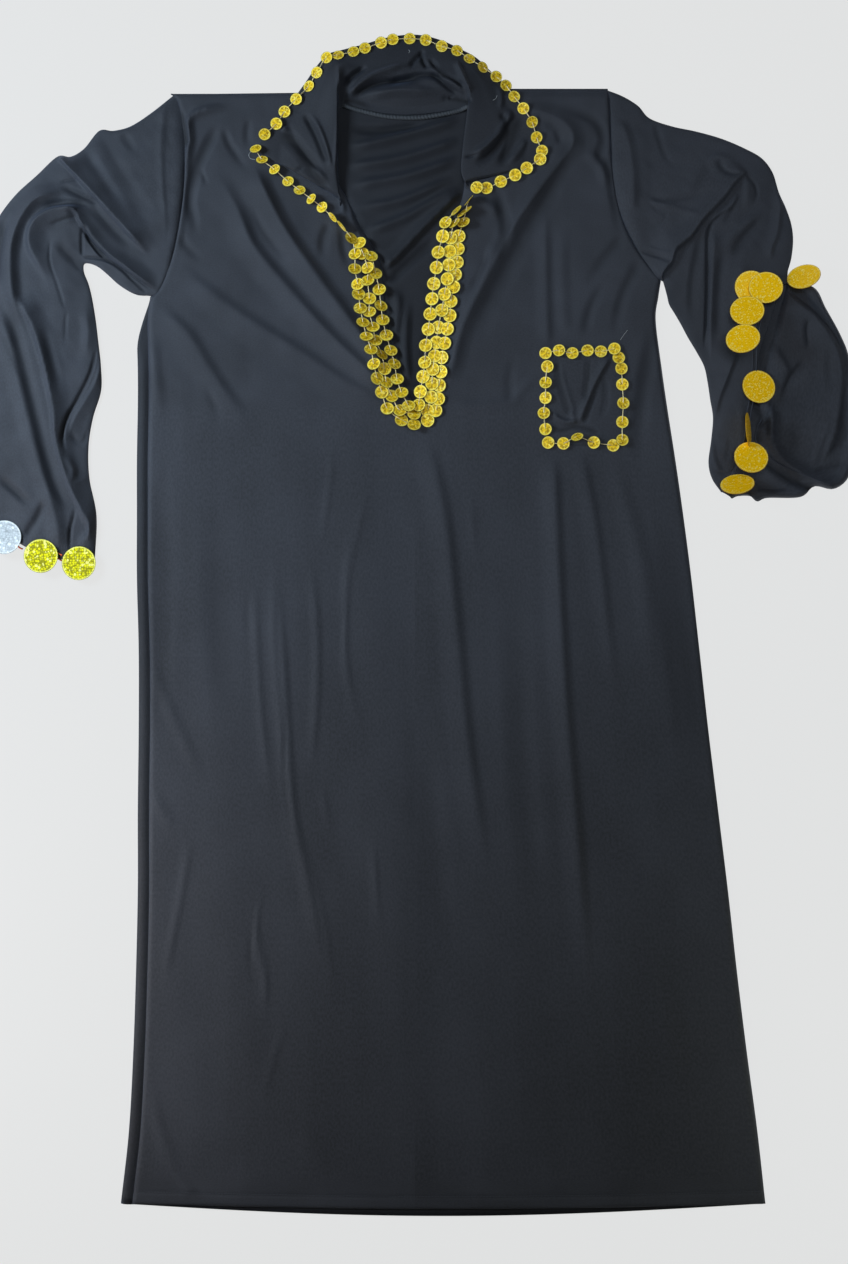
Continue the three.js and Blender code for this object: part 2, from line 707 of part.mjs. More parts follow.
// A row of coins on a string, along a curve over the cloth.
function makeCoinRow(path, coins) {
  const curve = new THREE.CatmullRomCurve3(path.map(([x, y]) => new THREE.Vector3(x, y, 0)));
  const length = curve.getLength();
  const pitch = length / coins;
  const radius = Math.min(COIN.diameter / 2, pitch / 2);
  const wide = radius * 0.87;
  const stations = [];
  for (let i = 0; i < coins; i += 1) {
    const middle = (i + 0.5) * pitch;
    stations.push({ at: middle - radius, half: COIN.string });
    stations.push({ at: middle - radius / 2, half: wide });
    stations.push({ at: middle + radius / 2, half: wide });
    if (pitch - 2 * radius > 0.5 || i === coins - 1) {
      stations.push({ at: middle + radius, half: COIN.string });
    }
  }
  const sheet = new Sheet();
  const rows = stations.map(({ at, half }) => {
    const share = clamp01(at / length);
    const point = curve.getPointAt(share);
    const tangent = curve.getTangentAt(share);
    return [1, -1].map((side) => {
      const x = point.x - side * tangent.y * half;
      const y = point.y + side * tangent.x * half;
      return sheet.addPoint([x, y, COIN.thickness], [x, y, 0]);
    });
  });
  sheet.addGrid(rows);
  return sheet;
}

function neckTrimPath(row, side) {
  const sign = side === 'left' ? -1 : 1;
  const top = side === 'left' ? row.leftTop : row.rightTop;
  const path = [];
  const steps = 9;
  for (let i = 0; i < steps; i += 1) {
    const y = lerp(top, SLIT_END + 0.45 * row.aside + 4, i / (steps - 1));
    const gather = side === 'left' ? 1 : Math.min(1, 0.45 + (top - y) / 90);
    path.push([readTable(NECK, side, y) + sign * row.aside * gather, y]);
  }
  path.push([sign * (COIN.diameter / 2 - 1), row.point]);
  return path;
}

function layCoinRow(name, path, coins) {
  const sheet = makeCoinRow(path, coins);
  sheet.settle(laid, LAYER_GAP);
  place(name, sheet.toGeometry(), GOLD);
}

function layPaillette({ name, at, tilt, heading }) {
  const { radius, thickness, sides } = PAILLETTE;
  const disc = new THREE.CylinderGeometry(radius, radius, thickness, sides);
  disc.rotateX(Math.PI / 2);
  disc.rotateY(THREE.MathUtils.degToRad(tilt));
  disc.rotateZ(THREE.MathUtils.degToRad(heading));
  const geometry = welded(disc);
  const position = geometry.getAttribute('position');
  const index = geometry.getIndex();
  geometry.translate(at[0], at[1], 0);
  let lift = 0;
  for (let i = 0; i < index.count; i += 3) {
    const corners = [0, 1, 2].map((k) => {
      const vertex = index.getX(i + k);
      return [position.getX(vertex), position.getY(vertex), position.getZ(vertex)];
    });
    lift = Math.max(lift, faceLift(corners, laid, LAYER_GAP, DISC_REACH));
  }
  geometry.translate(0, 0, lift);
  place(`cuff_paillette_${name}`, geometry, name === 'left_3' ? SILVER : GOLD);
}

// ---------------------------------------------------------------- the dress
place('back_panel', makeBack().toGeometry(), JERSEY);
place('front_panel', makeFront().toGeometry(), JERSEY);

const leftSleeve = makeSleeve(ARMHOLES.left, LEFT_SLEEVE, LEFT_SLEEVE_FOLDS, -1);
place('sleeve_left', leftSleeve.sheet.toGeometry(), JERSEY);

const rightSleeve = makeSleeve(ARMHOLES.right, RIGHT_SLEEVE, RIGHT_SLEEVE_FOLDS, 1);
addCuffMouth(rightSleeve.sheet, rightSleeve.lastRing);
place('sleeve_right', rightSleeve.sheet.toGeometry(), JERSEY);

const sections = collarSections();
const collar = thickenGrid(sections, COLLAR_WALL);
collar.settle(laid, LAYER_GAP);
place('collar', collar.toGeometry(), JERSEY);
place('back_neck_roll', makeNeckRoll(), JERSEY);

const pocket = makePocket();
pocket.settle(laid, LAYER_GAP);
place('chest_pocket', pocket.toGeometry(), JERSEY);

const flatten = (points) => points.map((point) => [point.x, point.y]);
const leafLeft = flatten(sections[0]);
const leafRight = flatten(sections[sections.length - 1]);
const collarEdge = flatten(sections.map((section) => section[COLLAR_STEPS]));
layCoinRow('collar_trim_left', leafLeft, 7);
layCoinRow('collar_trim_back', collarEdge, 30);
layCoinRow('collar_trim_right', leafRight, 6);

for (const row of NECK_TRIM_ROWS) {
  for (const side of ['left', 'right']) {
    layCoinRow(`neck_trim_${side}_${row.name}`, neckTrimPath(row, side), row.coins);
  }
}

const { left, right, top, bottom } = POCKET;
const inset = 2;
layCoinRow('pocket_trim_top', [[left - inset, top], [right - 8, top + 1]], 6);
layCoinRow('pocket_trim_right', [[right, top - 2], [right, bottom + 12]], 6);
layCoinRow('pocket_trim_bottom', [[right - 6, bottom], [left + 12, bottom + 1]], 5);
layCoinRow('pocket_trim_left', [[left, bottom - inset], [left, top - 10]], 6);

PAILLETTES.forEach(layPaillette);

export default dress;
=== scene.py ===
"""A long jersey dance dress with coin trims, laid flat and face up."""
import math
from collections import namedtuple

import bmesh
import bpy
import numpy as np
from mathutils import Matrix, Vector
from mathutils.bvhtree import BVHTree


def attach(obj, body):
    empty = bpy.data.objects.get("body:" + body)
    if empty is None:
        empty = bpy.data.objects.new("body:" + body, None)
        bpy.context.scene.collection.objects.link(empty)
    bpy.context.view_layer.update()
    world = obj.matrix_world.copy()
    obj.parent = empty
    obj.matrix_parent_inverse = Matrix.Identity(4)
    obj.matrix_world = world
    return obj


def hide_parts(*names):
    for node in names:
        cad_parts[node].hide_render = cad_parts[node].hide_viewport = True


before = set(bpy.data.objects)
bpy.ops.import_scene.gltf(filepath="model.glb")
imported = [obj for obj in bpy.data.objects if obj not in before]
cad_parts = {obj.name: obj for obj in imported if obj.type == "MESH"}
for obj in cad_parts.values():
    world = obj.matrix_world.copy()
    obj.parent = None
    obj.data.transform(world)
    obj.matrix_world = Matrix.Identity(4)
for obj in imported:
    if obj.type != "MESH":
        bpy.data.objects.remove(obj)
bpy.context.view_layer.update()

bl_info = {
    "name": "Coin Trimmed Dress",
    "version": (1, 0, 0),
    "blender": (4, 5, 0),
    "location": "View3D > Sidebar > Dress",
    "description": "Lays out a long jersey dress with coin trims and cuff discs",
    "category": "Add Mesh",
}

# The tables below are in millimetres: X = 0 runs through the point of the neck
# slit, Y = 0 is the middle of the skirt, and the dress lies on Z = 0.
MM = 0.001
SHOULDER = 603  # level of the front panel's upper edge
SLIT_END = 251  # level of the neck slit's point
HEM = -641  # level of the hem's ends
HEM_SEAM = 14  # the hem's stitches run this far above its edge
HEM_DROP_FROM = -340  # below this level the rows hang lower in the middle
HEM_DROP_OVER = 300  # and reach their full drop over this length
BACK_TOP = 1.4  # the back panel's upper face
FRONT_TOP = 3.15  # the front panel's upper face where it lies flat
SLIT_EDGE = 2.5  # and along the slit
SLEEVE_TOP = 3.6  # a sleeve's upper face beside its crown
SLEEVE_PUFF = 5.5  # and how far the crown rises above it
SLEEVE_BEND = 6.0  # radius of the bend along a sleeve's edges
LIP_START = 0.93  # share of the right sleeve's rows above the cuff's lip
EDGE_MIDDLE = 2.1  # height of the fold line along a sleeve's edges
SLEEVE_TUCK = 5  # a sleeve's end reaches this far under the front panel's edge
COLLAR_LOFT = 0.7  # the collar's roll lies lower than its pattern by this share
COLLAR_FULLNESS = 5.5  # and its middle is puffed up by so much
COLLAR_CLEAR = 1.6  # it keeps this far above what lies under it
COLLAR_WIDTH = 90.0
COLLAR_LENGTH = 900.0
BACK_LEAD = 12  # the back panel shows this far beside the front, on the left
FRONT_HEM_DROP = 6
BACK_HEM_DROP = 14
BACK_NECK_DIP = 12
BACK_NECK_HALF = 95
BACK_NECK_MIDDLE = -12
ROLL_RADIUS = 2.5  # of the rolled seam at the back of the neck
ROLL_LIFT = 1.7  # height of its middle above the cloth
ROLL_PITCH = 3.2  # the overlock thread goes round once in this length
POCKET = (145, 314, 88, 105)  # left, top, width, height
SEAM_MERGE = 0.00002  # points of a seam that lie closer than this, in metres, are joined
DEEPEST_CREASE_SHADE = 6.0  # a trough this deep gets the darkest painted shade

# Shares of the rows, from the top, where the armholes and the slit end.
BACK_ARM = 0.2
FRONT_ARM = 0.184
FRONT_SLIT = 0.284
# Rows of the fine tables that are read between the listed ones.
SLEEVE_STATIONS = 420
COLLAR_SECTIONS = 600

DISC_TESTS = 20  # places round a cuff disc where its height over the ground is looked at
DISC_CLEAR = 1.0
COIN_SIZE = 13.4  # a coin's template, scaled to each row's own size
COIN_LIFT = 0.9  # height of a coin's face above the ground it touches
COIN_STEP = 0.5  # and every second coin lies this much higher
CORD_DROP = 0.5  # the cord runs this far below the faces
CORD_CLEAR = 0.6  # and its middle at least this far above the cloth
CORD_RADIUS = 0.55
SAME_COIN = 4.0  # a steep coin is the one whose centre lies this near
STEEPEST_HILL = 40.0  # degrees that a coin follows the ground's slope
CORD_SIDES = 6
CORD_MERGE = 0.000005  # metres
STITCH_WIDTH = 0.5
STITCH_HEIGHT = 0.35
STITCH_LIFT = 0.25
MAP_STEP = 4.0  # the maps of two discs of a piece lie this far apart

WALES = 1100.0  # columns of knit in a metre
CREASE_SHADE_SHARE = 0.75  # share of the painted shade in the deepest trough
CREASE_SHADE_TONE = 0.25  # and how light that painted shade is, beside the plain knit

FLOOR_HALF = 4.0
FLOOR_LEVEL = -0.0006
SKY = 0.2  # metres above the floor, higher than any piece
CAMERA_DISTANCE = 2.6
VIEW_SIZE = 1.41568

Armhole = namedtuple("Armhole", "outer inner bow skew fullness")
ARMHOLES = {
    "left": Armhole((-274, SHOULDER), (-297, 376), 25, 1.0, 0.5),
    "right": Armhole((216, 609), (276, 396), -25, 1.5, 0.8),
}

# The rolled upper edge of the right cuff, from its outer to its inner corner.
CUFF_LIP = (
    (418, 391), (402, 386), (392, 368), (388, 344), (384, 321), (383, 293),
    (381, 265), (377, 243), (375, 221), (370, 198), (360, 178), (343, 158),
)

# Level, left edge and right edge of the neck opening, and of the body below it.
NECK = (
    (609, -104, 80),
    (582, -94, 67),
    (557, -91, 62),
    (508, -87, 56),
    (484, -75, 52),
    (456, -62, 39),
    (430, -46, 29),
    (408, -37, 24),
    (349, -30, 15),
    (293, -17, 7),
    (SLIT_END, 0, 0),
)
SIDES = (
    (396, -297, 276),
    (376, -297, 273),
    (349, -300, 270),
    (293, -299, 277),
    (SLIT_END, -299, 283),
    (193, -300, 292),
    (130, -300, 301),
    (60, -300, 310),
    (-20, -298, 319),
    (-110, -298, 329),
    (-200, -299, 340),
    (-290, -299, 351),
    (-380, -301, 361),
    (-470, -304, 372),
    (-560, -309, 384),
    (HEM, -318, 393),
)

# Stations from the armhole to the cuff: outer x, y, inner x, y, bow and drop.
LEFT_SLEEVE = (
    (-297, 581, -300, 377, 22, 0),
    (-319, 567, -305, 377, 18, 0),
    (-338, 562, -312, 378, 13, 0),
    (-354, 562, -321, 382, 8, 0),
    (-371, 542, -333, 390, 4, 0),
    (-386, 533, -344, 400, 0, 0),
    (-401, 533, -355, 409, 0, 0),
    (-424, 512, -365, 413, 0, 0),
    (-447, 491, -371, 412, 0, 0),
    (-465, 468, -371, 403, 0, 0),
    (-480, 441, -366, 390, 0, 0),
    (-493, 408, -362, 374, 0, 0),
    (-502, 366, -358, 350, 0, 0),
    (-508, 321, -355, 325, 0, 0),
    (-512, 277, -352, 297, 0, 0),
    (-513, 232, -352, 270, 0, 0),
    (-512, 193, -361, 240, 0, 0),
    (-508, 173, -366, 208, 0, 0),
    (-503, 161, -365, 172, 0, 0),
    (-499, 155, -357, 130, 0, 7),
    (-496, 144, -359, 80, 0, 21),
)
RIGHT_SLEEVE = (
    (232, 601, 281, 391, -14, 0),
    (250, 590, 282, 384, -8, 0),
    (263, 576, 283, 376, -4, 0),
    (288, 567, 285, 367, 0, 0),
    (316, 561, 291, 357, 0, 0),
    (344, 553, 298, 345, 0, 0),
    (370, 542, 306, 330, 0, 0),
    (389, 531, 315, 315, 0, 0),
    (401, 515, 324, 298, 0, 0),
    (408, 493, 328, 280, 0, 0),
    (416, 475, 331, 260, 0, 0),
    (422, 457, 334, 240, 0, 0),
    (424, 439, 332, 215, 0, 0),
    (422, 419, 329, 190, 0, 0),
    (418, 404, 333, 172, 0, 0),
    (418, 391, 343, 157, 0, 0),
)
# The end of the right cuff's lower layer, from its outer to its inner corner.
CUFF_MOUTH = (
    (430, 392), (449, 384), (460, 363), (477, 332), (487, 303), (495, 240), (493, 200), (485, 173),
    (469, 161), (448, 164), (432, 152), (395, 151), (384, 147), (376, 153), (362, 153), (355, 150),
)

# Sections round the neck: seam x, y, then roll x, y, z, then edge x, y, z.
COLLAR = (
    (-84, 477, -87, 486, 8, -178, 539, 5),
    (-85, 495, -91, 511, 12, -172, 551, 5),
    (-86, 523, -91, 538, 14, -158, 571, 5),
    (-87, 549, -89, 564, 16, -141, 592, 5),
    (-87, 571, -88, 591, 17, -124, 615, 5),
    (-86, 582, -87, 612, 16, -111, 634, 4),
    (-83, 586, -83, 622, 13, -98, 648, 3),
    (-76, 587, -76, 625, 10, -82, 653, 2),
    (-60, 585, -60, 618, 9, -59, 659, 1),
    (-36, 581, -35, 610, 10, -26, 668, 1),
    (-11, 579, -10, 607, 11, 3, 670, 1),
    (17, 581, 19, 610, 10, 29, 664, 1),
    (38, 584, 41, 617, 9, 51, 654, 2),
    (53, 586, 55, 618, 12, 69, 644, 3),
    (60, 582, 61, 604, 15, 88, 626, 4),
    (62, 568, 59, 582, 17, 108, 606, 5),
    (61, 549, 57, 560, 16, 127, 582, 5),
    (59, 529, 55, 538, 14, 140, 553, 5),
    (59, 508, 54, 517, 11, 148, 534, 5),
    (66, 492, 59, 502, 8, 141, 524, 5),
)
NECK_ROLL_PATH = ((-82, 590), (-62, 584), (-30, 577), (5, 576), (38, 581), (60, 587))

# Discs on the cuffs: name, x, y, tilt and heading in degrees.
PAILLETTES = (
    ("left_1", -376, 77, 4, 90),
    ("left_2", -418, 85, 4, 60),
    ("left_3", -459, 106, 6, 90),
    ("left_4", -500, 134, 6, 30),
    ("right_1", 376, 385, 6, 60),
    ("right_2", 391, 384, 19, 116),
    ("right_3", 369, 357, 26, 108),
    ("right_4", 362, 324, 32, 116),
    ("right_5", 384, 274, 16, 51),
    ("right_6", 371, 225, 74, 4),
    ("right_7", 373, 194, 23, 85),
    ("right_8", 359, 165, 53, 101),
    ("right_9", 434, 397, 44, 117),
)
# Centres of the coins, row by row.
COINS = {
    "collar_trim_left": (
        (-92, 463), (-104, 475), (-116, 484), (-129, 494), (-142, 504), (-157, 517), (-171, 528),
        (-178, 540),
    ),
    "collar_trim_back": (
        (-168, 556), (-155, 568), (-146, 582), (-133, 596), (-119, 611), (-110, 626), (-99, 643),
        (-86, 646), (-69, 650), (-56, 654), (-38, 660), (-25, 664), (-6, 665), (12, 663),
        (30, 656), (47, 651), (61, 642), (76, 632), (91, 622), (102, 612), (111, 599),
        (121, 585), (131, 570), (136, 553), (142, 538),
    ),
    "collar_trim_right": (
        (140, 529), (125, 519), (112, 511), (96, 504), (80, 497), (69, 497),
    ),
    "neck_trim_left_inner": (
        (-59, 423), (-49, 420), (-44, 401), (-40, 383), (-38, 365), (-36, 349), (-32, 332),
        (-27, 315), (-23, 300), (-20, 283), (-15, 268), (-7, 253),
    ),
    "neck_trim_left_middle": (
        (-62, 435), (-53, 407), (-53, 393), (-51, 373), (-51, 358), (-47, 341), (-44, 326),
        (-37, 310), (-34, 294), (-32, 279), (-26, 264), (-17, 248), (-1, 244),
    ),
    "neck_trim_left_outer": (
        (-82, 453), (-71, 440), (-67, 423), (-67, 406), (-64, 389), (-63, 378), (-61, 362), (-58, 346),
        (-54, 330), (-49, 315), (-46, 299), (-42, 283), (-37, 268), (-31, 250), (-15, 237),
        (-1, 232),
    ),
    "neck_trim_right_inner": (
        (46, 471), (34, 458), (31, 443), (26, 425), (24, 408), (21, 390), (19, 373), (17, 356),
        (15, 339), (12, 321), (11, 302), (9, 286), (6, 269), (4, 254),
    ),
    "neck_trim_right_middle": (
        (53, 468), (44, 457), (40, 441), (39, 426), (38, 411), (36, 395), (33, 378), (30, 360),
        (26, 341), (24, 324), (22, 309), (20, 294), (19, 278), (18, 263), (14, 248),
    ),
    "neck_trim_right_outer": (
        (60, 482), (57, 471), (54, 458), (49, 443), (48, 429), (47, 414), (45, 400), (43, 386),
        (40, 370), (39, 354), (36, 339), (33, 323), (30, 307), (29, 291), (27, 276), (26, 261),
        (23, 248), (14, 237),
    ),
    "pocket_trim_top": (
        (146, 312), (161, 315), (176, 312), (193, 315), (208, 314), (223, 317),
    ),
    "pocket_trim_right": (
        (228, 307), (231, 295), (232, 277), (233, 256), (232, 235), (232, 215),
    ),
    "pocket_trim_bottom": (
        (222, 209), (200, 212), (181, 218), (166, 211), (149, 212),
    ),
    "pocket_trim_left": (
        (146, 227), (144, 245), (146, 262), (146, 279), (148, 297),
    ),
}

# A fold runs along its path: rise is its height, or depth where it is below 0;
# left and right are its widths to the left and right hand of one who walks along
# it; crest is 0 for a round crest and 1 for a sharp one; head and tail are the
# shares of its length over which it dies out.
Fold = namedtuple("Fold", "rise left right crest head tail path")


def fold_table(*rows):
    """Folds of rows with rise, left, right, crest, head and tail, then the path's points."""
    return tuple(Fold(*row[:6], row[6:]) for row in rows)


FRONT_FOLDS = fold_table(
    (-4, 4, 3, 0.4, 0.15, 0.2, (-262, 585), (-258, 567), (-254, 544)),
    # chest left
    (7.5, 13, 34, 0.75, 0.1, 0.1, (-181, 525), (-171, 501), (-146, 452), (-106, 394), (-71, 347),
     (-44, 309), (-26, 278)),
    (6, 12, 27, 0.7, 0.25, 0.12, (-225, 517), (-200, 477), (-180, 432), (-140, 383), (-95, 333),
     (-48, 287), (-21, 258)),
    (-1.8, 6, 8, 0.4, 0.3, 0.4, (-185, 480), (-167, 447), (-139, 412)),
    (3.4, 11, 29, 0.5, 0.2, 0.15, (-268, 414), (-235, 385), (-185, 349), (-129, 314), (-78, 280),
     (-26, 251)),
    (3.2, 11, 27, 0.45, 0.15, 0.4, (-286, 363), (-254, 333), (-232, 298), (-205, 258), (-176, 220)),
    (-1.3, 6, 8, 0.4, 0.4, 0.4, (-236, 279), (-227, 260), (-215, 236)),
    (2.2, 11, 11, 0.2, 0.3, 0.5, (-295, 338), (-291, 293), (-284, 232)),
    (6, 10, 4, 0.7, 0.12, 0.3, (-209, 589), (-236, 585), (-253, 575), (-253, 551), (-258, 523),
     (-262, 497), (-264, 467), (-268, 439), (-274, 414)),
    (-6, 4, 3, 0.5, 0.2, 0.15, (-268, 591), (-263, 578), (-260, 560), (-255, 541)),
    (-3.4, 9, 9, 0.3, 0.2, 0.3, (-218, 571), (-233, 544), (-245, 515), (-252, 484), (-248, 461),
     (-246, 437)),
    (-2.4, 7, 7, 0.4, 0.3, 0.5, (-216, 568), (-207, 545), (-186, 515)),
    (-1.6, 4, 4, 0.4, 0.3, 0.4, (-241, 520), (-237, 511), (-232, 500)),
    (-1.6, 7, 7, 0.3, 0.3, 0.5, (-185, 576), (-188, 558), (-185, 540)),
    (-1.6, 7, 7, 0.4, 0.2, 0.5, (-263, 444), (-254, 430), (-236, 414)),
    (-3, 10, 8, 0.4, 0.2, 0.5, (-95, 459), (-103, 441), (-104, 414)),
    (-3, 8, 8, 0.4, 0.2, 0.5, (-81, 455), (-80, 432), (-72, 403)),
    (-1.4, 18, 16, 0.1, 0.3, 0.3, (-286, 198), (-283, 36), (-288, -143)),
    # chest right
    (6, 17, 18, 0.85, 0.08, 0.1, (109, 586), (146, 580), (170, 567), (177, 548), (162, 526),
     (138, 495), (113, 459), (93, 423), (72, 383), (54, 344), (43, 302), (35, 269)),
    (-2.4, 16, 16, 0.1, 0.2, 0.3, (183, 567), (167, 526), (142, 476), (114, 426), (86, 370), (62, 316)),
    (-3.6, 10, 10, 0.3, 0.25, 0.4, (87, 500), (97, 477), (101, 448), (92, 414)),
    (3, 9, 11, 0.3, 0.3, 0.3, (62, 484), (81, 478), (95, 464)),
    (-2.2, 6, 6, 0.4, 0.3, 0.3, (142, 569), (157, 563), (164, 545)),
    (-2.8, 9, 9, 0.3, 0.2, 0.25, (158, 589), (183, 582), (203, 571), (211, 553), (207, 533),
     (216, 522), (222, 495), (226, 470), (230, 441)),
    (2.2, 10, 10, 0.2, 0.3, 0.3, (188, 540), (207, 523), (216, 495)),
    (2.6, 9, 16, 0.6, 0.35, 0.1, (146, 484), (146, 428), (147, 372), (149, 318)),
    (1.6, 11, 11, 0.2, 0.3, 0.2, (166, 461), (165, 394), (169, 325)),
    (-2.2, 9, 9, 0.3, 0.2, 0.5, (236, 447), (209, 414), (189, 385)),
    (-2.4, 10, 9, 0.3, 0.15, 0.4, (253, 419), (232, 374), (222, 329)),
    (-2.2, 9, 9, 0.3, 0.4, 0.3, (215, 396), (198, 365), (188, 329)),
    (-3.2, 13, 13, 0.2, 0.3, 0.5, (269, 347), (259, 293), (250, 226), (254, 176)),
    (-3, 7, 7, 0.5, 0.3, 0.4, (83, 428), (73, 403), (57, 374)),
    (2.4, 7, 8, 0.4, 0.3, 0.4, (92, 441), (81, 414), (66, 385)),
    (-1.3, 9, 9, 0.2, 0.4, 0.4, (113, 318), (106, 282), (109, 242)),
    (1.6, 9, 13, 0.2, 0.2, 0.4, (35, 251), (84, 255), (141, 264)),
    (1.3, 9, 9, 0.2, 0.3, 0.4, (140, 291), (118, 269), (102, 246)),
    # skirt
    (3.2, 12, 27, 0.55, 0.12, 0.3, (10, 226), (32, 137), (46, 13), (59, -121), (77, -244), (88, -300)),
    (3.6, 11, 22, 0.55, 0.06, 0.3, (155, 204), (160, 81), (169, -76), (183, -244), (196, -423)),
    (2.4, 10, 18, 0.4, 0.1, 0.5, (184, 204), (203, 114), (215, 13), (230, -99)),
    (2, 16, 18, 0.2, 0.2, 0.5, (218, 202), (252, 81), (269, -76)),
    (1.9, 7, 16, 0.6, 0.3, 0.3, (-157, 94), (-147, -31), (-138, -177), (-131, -227), (-119, -283),
     (-100, -379), (-94, -418)),
    (1.4, 6, 11, 0.6, 0.3, 0.3, (-179, 67), (-177, -9), (-171, -99), (-159, -194)),
    (1.4, 7, 11, 0.5, 0.3, 0.3, (-120, 97), (-110, 13), (-110, -76), (-118, -171)),
    (1.5, 6, 10, 0.6, 0.3, 0.4, (-71, 125), (-77, 36), (-76, -43), (-55, -127)),
    (1.5, 6, 9, 0.6, 0.3, 0.3, (-171, -278), (-178, -336), (-167, -390), (-171, -435)),
    (1.2, 4, 7, 0.6, 0.4, 0.4, (-106, -171), (-100, -197), (-92, -224)),
    (1.1, 4, 10, 0.6, 0.4, 0.4, (-47, -220), (-43, -278), (-39, -339)),
    (1.6, 9, 11, 0.4, 0.2, 0.4, (-297, -31), (-272, -93), (-232, -177)),
    (1.4, 9, 7, 0.5, 0.2, 0.5, (-295, -183), (-283, -202), (-265, -224)),
    (1.1, 7, 9, 0.4, 0.2, 0.4, (-250, -227), (-265, -311), (-286, -412)),
    (0.9, 6, 7, 0.3, 0.3, 0.4, (-252, -222), (-213, -220), (-165, -211)),
    (0.8, 6, 6, 0.3, 0.3, 0.3, (-297, -177), (-274, -213), (-252, -222)),
    (-1.1, 3, 4, 0.5, 0.3, 0.2, (-144, -76), (-146, -155), (-138, -216), (-129, -227)),
    (0.9, 4, 9, 0.5, 0.3, 0.3, (-156, 92), (-158, -9), (-149, -121), (-143, -199)),
    (0.9, 4, 8, 0.5, 0.3, 0.4, (-129, -222), (-106, -300), (-93, -379), (-88, -423)),
    (0.9, 6, 8, 0.4, 0.3, 0.4, (-142, -435), (-157, -474), (-171, -524)),
    (-0.9, 4, 4, 0.4, 0.3, 0.3, (-174, -278), (-185, -367), (-171, -412)),
    (2.4, 4, 7, 0.5, 0.15, 0.3, (-76, 475), (-64, 449), (-49, 419), (-39, 394)),
    (3, 4, 4, 0.6, 0.3, 0.3, (-86, 485), (-80, 476), (-83, 466)),
    (2.6, 4, 4, 0.6, 0.3, 0.3, (-75, 480), (-69, 472), (-73, 463)),
    (-3, 3, 3, 0.6, 0.3, 0.3, (-80, 470), (-84, 459), (-86, 452)),
    (0.8, 4, 8, 0.4, 0.3, 0.4, (-90, 215), (-97, 148), (-109, 81)),
    (0.8, 4, 8, 0.4, 0.3, 0.4, (-48, 170), (-66, 103), (-71, 47)),
    (0.8, 3, 4, 0.6, 0.3, 0.5, (-295, 172), (-286, 177), (-256, 159)),
    (-0.8, 3, 3, 0.4, 0.3, 0.4, (-272, 22), (-277, -9), (-279, -20)),
    (-1, 3, 4, 0.4, 0.3, 0.4, (-185, 47), (-188, 13), (-183, -15)),
    (-0.8, 3, 3, 0.4, 0.3, 0.4, (-77, 47), (-84, -9), (-75, -43)),
    (1.8, 11, 10, 0.4, 0.3, 0.1, (-297, -507), (-286, -558), (-268, -603), (-245, -634)),
    (1, 6, 8, 0.4, 0.4, 0.4, (62, 161), (65, 120), (68, 78)),
    (-2.6, 25, 25, 0.1, 0.4, 0.4, (274, 148), (297, -9), (323, -199)),
    (-1.5, 22, 29, 0.1, 0.4, 0.4, (6, -76), (17, -244), (45, -412)),
    (-1.8, 22, 22, 0.1, 0.4, 0.4, (109, 81), (118, -143), (140, -367)),
    (-1.3, 25, 25, 0.1, 0.4, 0.4, (-224, 170), (-218, 13), (-209, -143)),
    (1.6, 29, 29, 0.1, 0.4, 0.4, (252, -300), (280, -435), (308, -580)),
    (1.4, 22, 22, 0.1, 0.4, 0.4, (-207, -502), (-129, -558), (-95, -625)),
)

